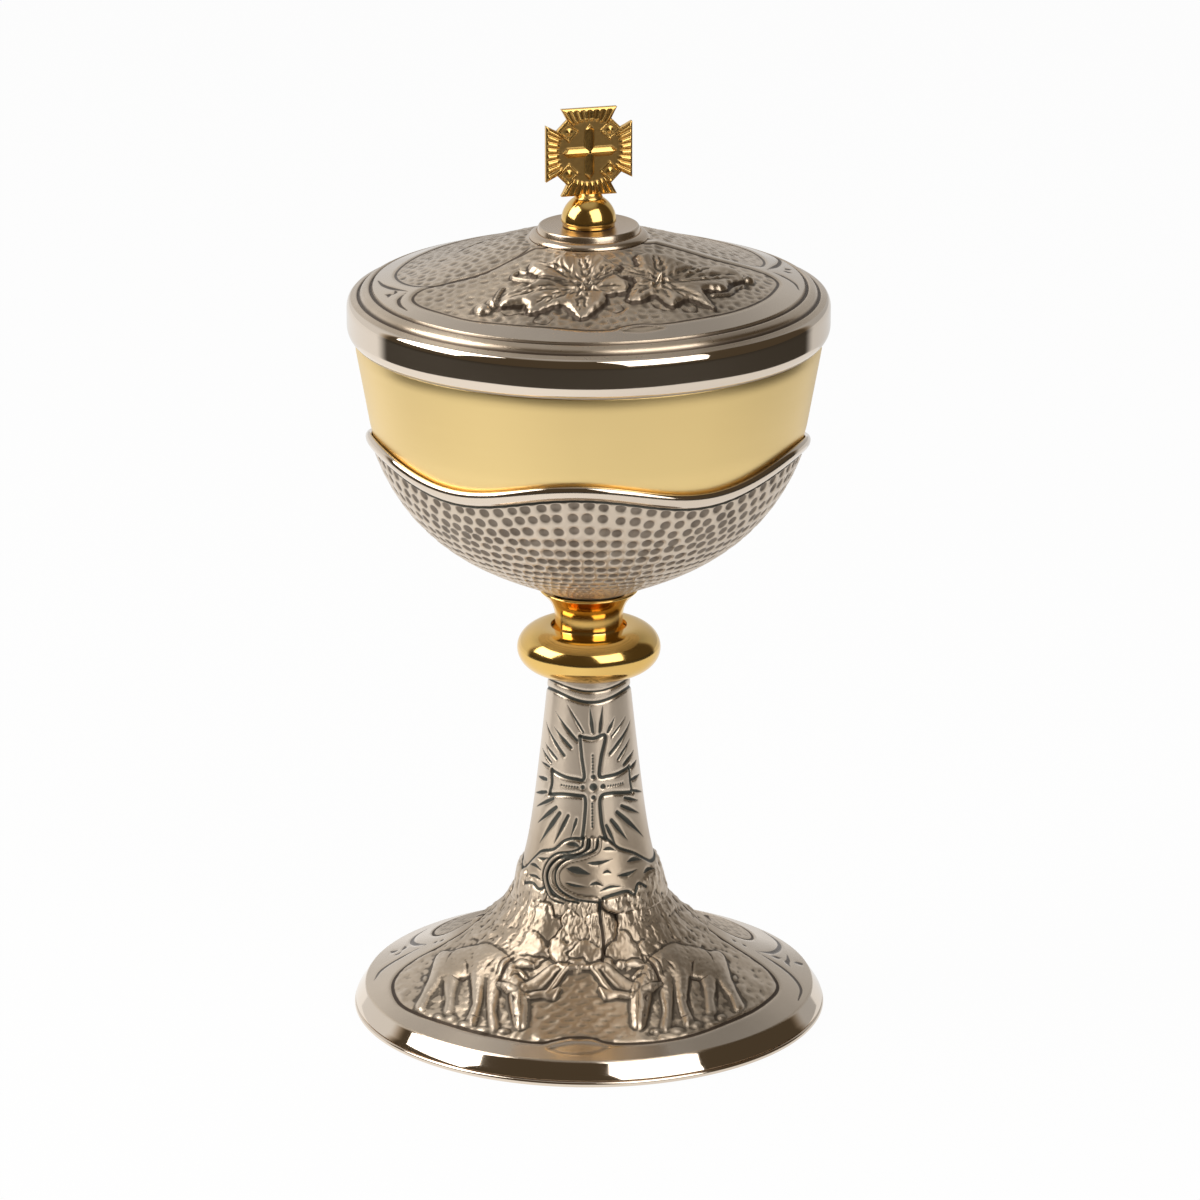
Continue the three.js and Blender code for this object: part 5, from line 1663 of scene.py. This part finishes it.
# %% Name the metals
SILVER = (0.80, 0.69, 0.57)
DULL_SILVER = (0.72, 0.60, 0.47)
# satin silver whose warm, darker tone is a painted reflection of the gold ball
SATIN_SILVER_AND_PAINTED_REFLECTION = (0.60, 0.47, 0.34)
RUBBED_SILVER = (0.67, 0.55, 0.42)
WORN_SILVER = (0.56, 0.45, 0.33)
WARM_SILVER = (0.58, 0.43, 0.28)
GOLD = (0.87, 0.57, 0.18)
DULL_GOLD = (0.80, 0.47, 0.12)
PALE_GOLD = (0.955, 0.72, 0.325)
SOFT_GOLD = (0.925, 0.68, 0.295)
CAST_GOLD = (0.86, 0.54, 0.17)
GOLD_PATINA = (0.10, 0.055, 0.018)
# dark patina for the hollows and round raised figures, where it also serves as painted shade
PATINA_AND_PAINTED_SHADE = (0.085, 0.068, 0.050)
SLATE_PATINA = (0.065, 0.070, 0.062)
LINE_PATINA = (0.085, 0.060, 0.042)
BROWN_PATINA = (0.13, 0.10, 0.075)
BRASS = (0.62, 0.42, 0.17)
STEEL = (0.46, 0.46, 0.45)
DARK_STEEL = (0.38, 0.38, 0.36)


# %% Bright metals
def polished_silver():
    material, board = metal("polished silver")
    haze = board.noise(board.place(), 60.0, 3.0)
    lines = lathe_lines(board)
    satin = board.attribute("satin")
    bright = board.blend(haze.between(0.35, 0.75) * 0.25, SILVER, DULL_SILVER)
    # the disc's satin parts take a colour that paints in the reflection of the gold ball; the satin finish
    # itself is the added roughness
    surface = board.blend(satin, bright, SATIN_SILVER_AND_PAINTED_REFLECTION)
    board.surface(Base_Color=surface, Metallic=1.0, Roughness=lines * 0.05 + haze * 0.05 + 0.03 + satin * 0.2)
    return material


def polished_gold():
    material, board = metal("polished gold")
    haze = board.noise(board.place(), 90.0, 3.0)
    lines = lathe_lines(board)
    surface = board.blend(haze.between(0.35, 0.75) * 0.3, GOLD, DULL_GOLD)
    board.surface(Base_Color=surface, Metallic=1.0, Roughness=lines * 0.06 + haze * 0.06 + 0.07)
    return material


def satin_gold():
    material, board = metal("satin gold")
    lines = lathe_lines(board)
    haze = board.noise(board.place(), 25.0, 3.0)
    surface = board.blend(haze.between(0.3, 0.7) * 0.3, PALE_GOLD, SOFT_GOLD)
    bump = board.add("ShaderNodeBump", None, {"Strength": 0.2, "Distance": 0.00002, "Height": lines})
    board.surface(Base_Color=surface, Metallic=1.0, Roughness=lines * 0.12 + 0.29, Normal=bump)
    return material


# %% [markdown]
# Antique silver: the whole piece is darkened, then the high spots are rubbed bright again. The dark is
# left in engraved lines, hammer marks and hollows; in the hollows and round the raised figures it is
# painted shade as well as patina. The pieces carry that as numbers on their points: how near a line, how
# deep in a mark, how far below its surroundings, how brightly polished.

# %% Antique silver
def antique_silver():
    material, board = metal("antique silver")
    place = board.place()
    _, _, height = board.parts(place)
    stem = height.between(0.045, 0.060) * (1.0 - height.between(0.150, 0.160))
    fine = board.noise(place, 900.0, 4.0, 0.6)
    soft = board.noise(place, 130.0, 3.0)
    mark = board.attribute("mark").between(0.40, 0.60)
    # the dark outline round raised figures: patina and painted shade
    rim = board.attribute("rim").between(0.55, 0.95)
    pit = board.attribute("pit").between(0.44, 0.60)
    # recess: hollows darkened, as patina and as painted shade
    recess = (board.attribute("recess") + (fine - 0.5) * 0.10).between(0.03, 0.30)
    ridge = (0.0 - board.attribute("recess")).between(0.02, 0.25)
    warm = board.attribute("warm")
    shine = board.attribute("shine")
    plain = board.blend(soft.between(0.3, 0.7) * 0.5, RUBBED_SILVER, WORN_SILVER)
    tinted = board.blend(warm * 0.7, plain, WARM_SILVER)
    rubbed = board.blend((ridge * 0.3).largest(shine).largest(stem * 0.6), tinted, SILVER)
    # painted shade and patina in the hollows
    hollow = board.blend(recess * 0.85, rubbed, PATINA_AND_PAINTED_SHADE)
    pitted = board.blend(pit * (0.58 + soft * 0.45), hollow, BROWN_PATINA)
    # painted shade and patina round the raised figures
    outlined = board.blend(rim * 0.70, pitted, PATINA_AND_PAINTED_SHADE)
    slate = height.between(0.026, 0.036) * (1.0 - height.between(0.166, 0.172))
    lined = board.blend(mark * 0.94, outlined, board.blend(slate, LINE_PATINA, SLATE_PATINA))
    dark = mark.largest(recess * 0.8).largest(rim * 0.6).largest(pit * 0.35)
    low = height.between(0.012, 0.018) * (1.0 - height.between(0.045, 0.060))
    rough = 0.31 + (fine - 0.5) * 0.12 + dark * 0.18 + low * 0.07 - ridge * 0.05
    rough = rough * (1.0 - shine) + shine * (0.04 + soft * 0.04)
    relief = fine * (1.0 - shine) * (low * 0.4 + 0.5)
    bump = board.add("ShaderNodeBump", None, {"Strength": 0.5, "Distance": 0.00006, "Height": relief})
    board.surface(Base_Color=lined, Metallic=1.0 - dark * 0.35, Roughness=rough, Normal=bump,
                  Anisotropic=0.85, Anisotropic_Rotation=0.25)
    return material


# %% Antique gold, brass and steel
def antique_gold():
    material, board = metal("antique gold")
    fine = board.noise(board.place(), 700.0, 4.0, 0.6)
    recess = (board.attribute("recess") + (fine - 0.5) * 0.1).between(0.02, 0.35)
    surface = board.blend(recess * 0.92, CAST_GOLD, GOLD_PATINA)
    rough = 0.17 + fine * 0.14 + recess * 0.2
    board.surface(Base_Color=surface, Metallic=1.0 - recess * 0.3, Roughness=rough)
    return material


def plain_brass():
    material, board = metal("plain brass")
    lines = lathe_lines(board)
    board.surface(Base_Color=(*BRASS, 1), Metallic=1.0, Roughness=lines * 0.2 + 0.22)
    return material


def plain_steel():
    material, board = metal("plain steel")
    cloud = board.noise(board.place(), 300.0, 4.0)
    surface = board.blend(cloud.between(0.35, 0.7), STEEL, DARK_STEEL)
    board.surface(Base_Color=surface, Metallic=1.0, Roughness=cloud * 0.25 + 0.22)
    return material


finishes = {
    "antique_silver": antique_silver(),
    "polished_silver": polished_silver(),
    "satin_gold": satin_gold(),
    "polished_gold": polished_gold(),
    "antique_gold": antique_gold(),
    "plain_brass": plain_brass(),
    "plain_steel": plain_steel(),
}

# %% Dress and hang the pieces
slots = {row["node"]: row["material_slot"] for row in frame["record"]["subparts"]}
bodies = frame["record"]["behaviour"]["bodies"]
for node, made in pieces.items():
    for piece in made:
        piece.data.materials.append(finishes[slots[node]])
        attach(piece, "cup" if node in bodies["cup"] else "lid")
        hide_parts(node)
for node, cad in nodes.items():
    if node not in pieces:
        cad.data.materials.clear()
        cad.data.materials.append(finishes[slots[node]])
print("nodes with new pieces:", len(pieces), "and nodes shown as they are:", len(nodes) - len(pieces))


# %% [markdown]
# The table and the room. Polished metal shows what stands round it, so the room matters as much as the
# lamps: a white table that ends some forty centimetres away, a pale wall behind, a dark room where the
# camera stands, and two soft boxes, which show as bright windows in the knop and the ball.

# %% Find the ways of the room
LEFT_SHARE = 0.12
WALL_ENDS = (0.40, 0.56)


def compass(x, y):
    distance = (x * x + y * y + 1e-6) ** 0.5
    behind = ((y - x * LEFT_SHARE) / distance).between(*WALL_ENDS)
    return behind, x / distance


# %% Lay the table
FLOOR_SIZE = 3.0
TABLE_FRONT = 0.40
TABLE_HALF = 0.44
PAPER_WHITE = (0.85, 0.85, 0.85, 1)
DUSK = (1.0, 0.84, 0.62, 1)
DUSK_GLOW = 0.035
PAPER_SHARE = 0.965


def table():
    bm = bmesh.new()
    bmesh.ops.create_grid(bm, x_segments=1, y_segments=1, size=FLOOR_SIZE)
    piece = finished("table", bm)
    material, board = metal("white table")
    camera = board.add("ShaderNodeLightPath", output="Is Camera Ray")
    glossy = board.add("ShaderNodeLightPath", output="Is Glossy Ray")
    clear = board.add("ShaderNodeLightPath", output="Is Transmission Ray")
    x, y, _ = board.parts(board.place())
    front = ((x / TABLE_HALF) ** 4) + ((y / TABLE_FRONT) ** 4)
    near = 1.0 - front.between(0.85, 1.15)
    behind, right = compass(x, y)
    right = right.between(-0.60, 0.80)
    lit = (near * (1.0 - right * 0.16)).largest(behind * (0.90 - right * 0.25))
    shown = camera.largest(glossy).largest(clear)
    paint = board.add("ShaderNodeBsdfDiffuse", None, {"Color": PAPER_WHITE})
    dusk = board.add("ShaderNodeEmission", None, {"Color": DUSK, "Strength": DUSK_GLOW})
    white = board.add("ShaderNodeEmission", None, {"Color": (1, 1, 1, 1), "Strength": 1.0})
    glow = board.add("ShaderNodeMixShader", None, {0: camera.largest(lit), 1: dusk, 2: white})
    mixed = board.add("ShaderNodeMixShader", None, {0: shown * PAPER_SHARE, 1: paint, 2: glow})
    board.add("ShaderNodeOutputMaterial", None, {0: mixed})
    piece.data.materials.append(material)
    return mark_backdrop(piece)


# %% Paint the room
CEILING = (0.80, 0.97)
ROOM_TINT, DAYLIGHT = (1.0, 0.76, 0.49), (1.0, 1.0, 1.0)


def room():
    world = bpy.data.worlds.new("room")
    world.use_nodes = True
    bpy.context.scene.world = world
    board = Board(world.node_tree)
    x, y, z = board.parts(board.add("ShaderNodeTexCoord", output="Generated"))
    behind, right = compass(x, y)
    wall = 0.66 - z.between(0.30, 0.80) * 0.26
    gloom = z.between(*CEILING) * 0.34 + 0.075
    wall = wall * (1.16 - right.between(-0.60, 0.70) * 0.50)
    light = behind * wall + (1.0 - behind) * gloom
    camera = board.add("ShaderNodeLightPath", output="Is Camera Ray")
    light = camera + (1.0 - camera) * light
    tint = board.blend(camera.largest(behind).largest(z.between(*CEILING)), ROOM_TINT, DAYLIGHT)
    glow = board.add("ShaderNodeBackground", None, {"Color": tint, "Strength": light})
    board.add("ShaderNodeOutputWorld", None, {0: glow})


# %% Hang the soft boxes
LOOK_AT = Vector((0, 0, 0.11))
LAMP_WHITE = (1.0, 0.985, 0.96)


def soft_box(name, azimuth, elevation, distance, width, height, glow):
    lamp = bpy.data.lights.new(name, "AREA")
    lamp.shape = "RECTANGLE"
    lamp.size, lamp.size_y = width, height
    lamp.energy = glow * math.pi * width * height
    lamp.color = LAMP_WHITE
    around, up = math.radians(azimuth), math.radians(elevation)
    way = Vector((math.sin(around) * math.cos(up), -math.cos(around) * math.cos(up), math.sin(up)))
    box = bpy.data.objects.new(name, lamp)
    box.location = LOOK_AT + way * distance
    box.rotation_euler = (-way).to_track_quat("-Z", "Y").to_euler()
    bpy.context.scene.collection.objects.link(box)


# %% Stand the camera
CAMERA_PLACE = (0.0028, -1.59547, 0.6231)
CAMERA_PITCH = 0.3124
CAMERA_LENS, CAMERA_SENSOR = 200.1, 36


def camera():
    lens = bpy.data.cameras.new("camera")
    lens.lens = CAMERA_LENS
    lens.sensor_width = CAMERA_SENSOR
    eye = bpy.data.objects.new("camera", lens)
    eye.location = CAMERA_PLACE
    eye.rotation_euler = (math.pi / 2 - CAMERA_PITCH, 0, 0)
    bpy.context.scene.collection.objects.link(eye)
    bpy.context.scene.camera = eye


# %% Set up the picture
table()
room()
soft_box("left soft box", azimuth=-82, elevation=37, distance=1.1, width=0.76, height=0.85, glow=4.4)
soft_box("right soft box", azimuth=37, elevation=35, distance=1.1, width=0.80, height=0.95, glow=2.8)
camera()
bpy.context.scene.view_settings.view_transform = "Standard"
print("lamps:", len(bpy.data.lights))
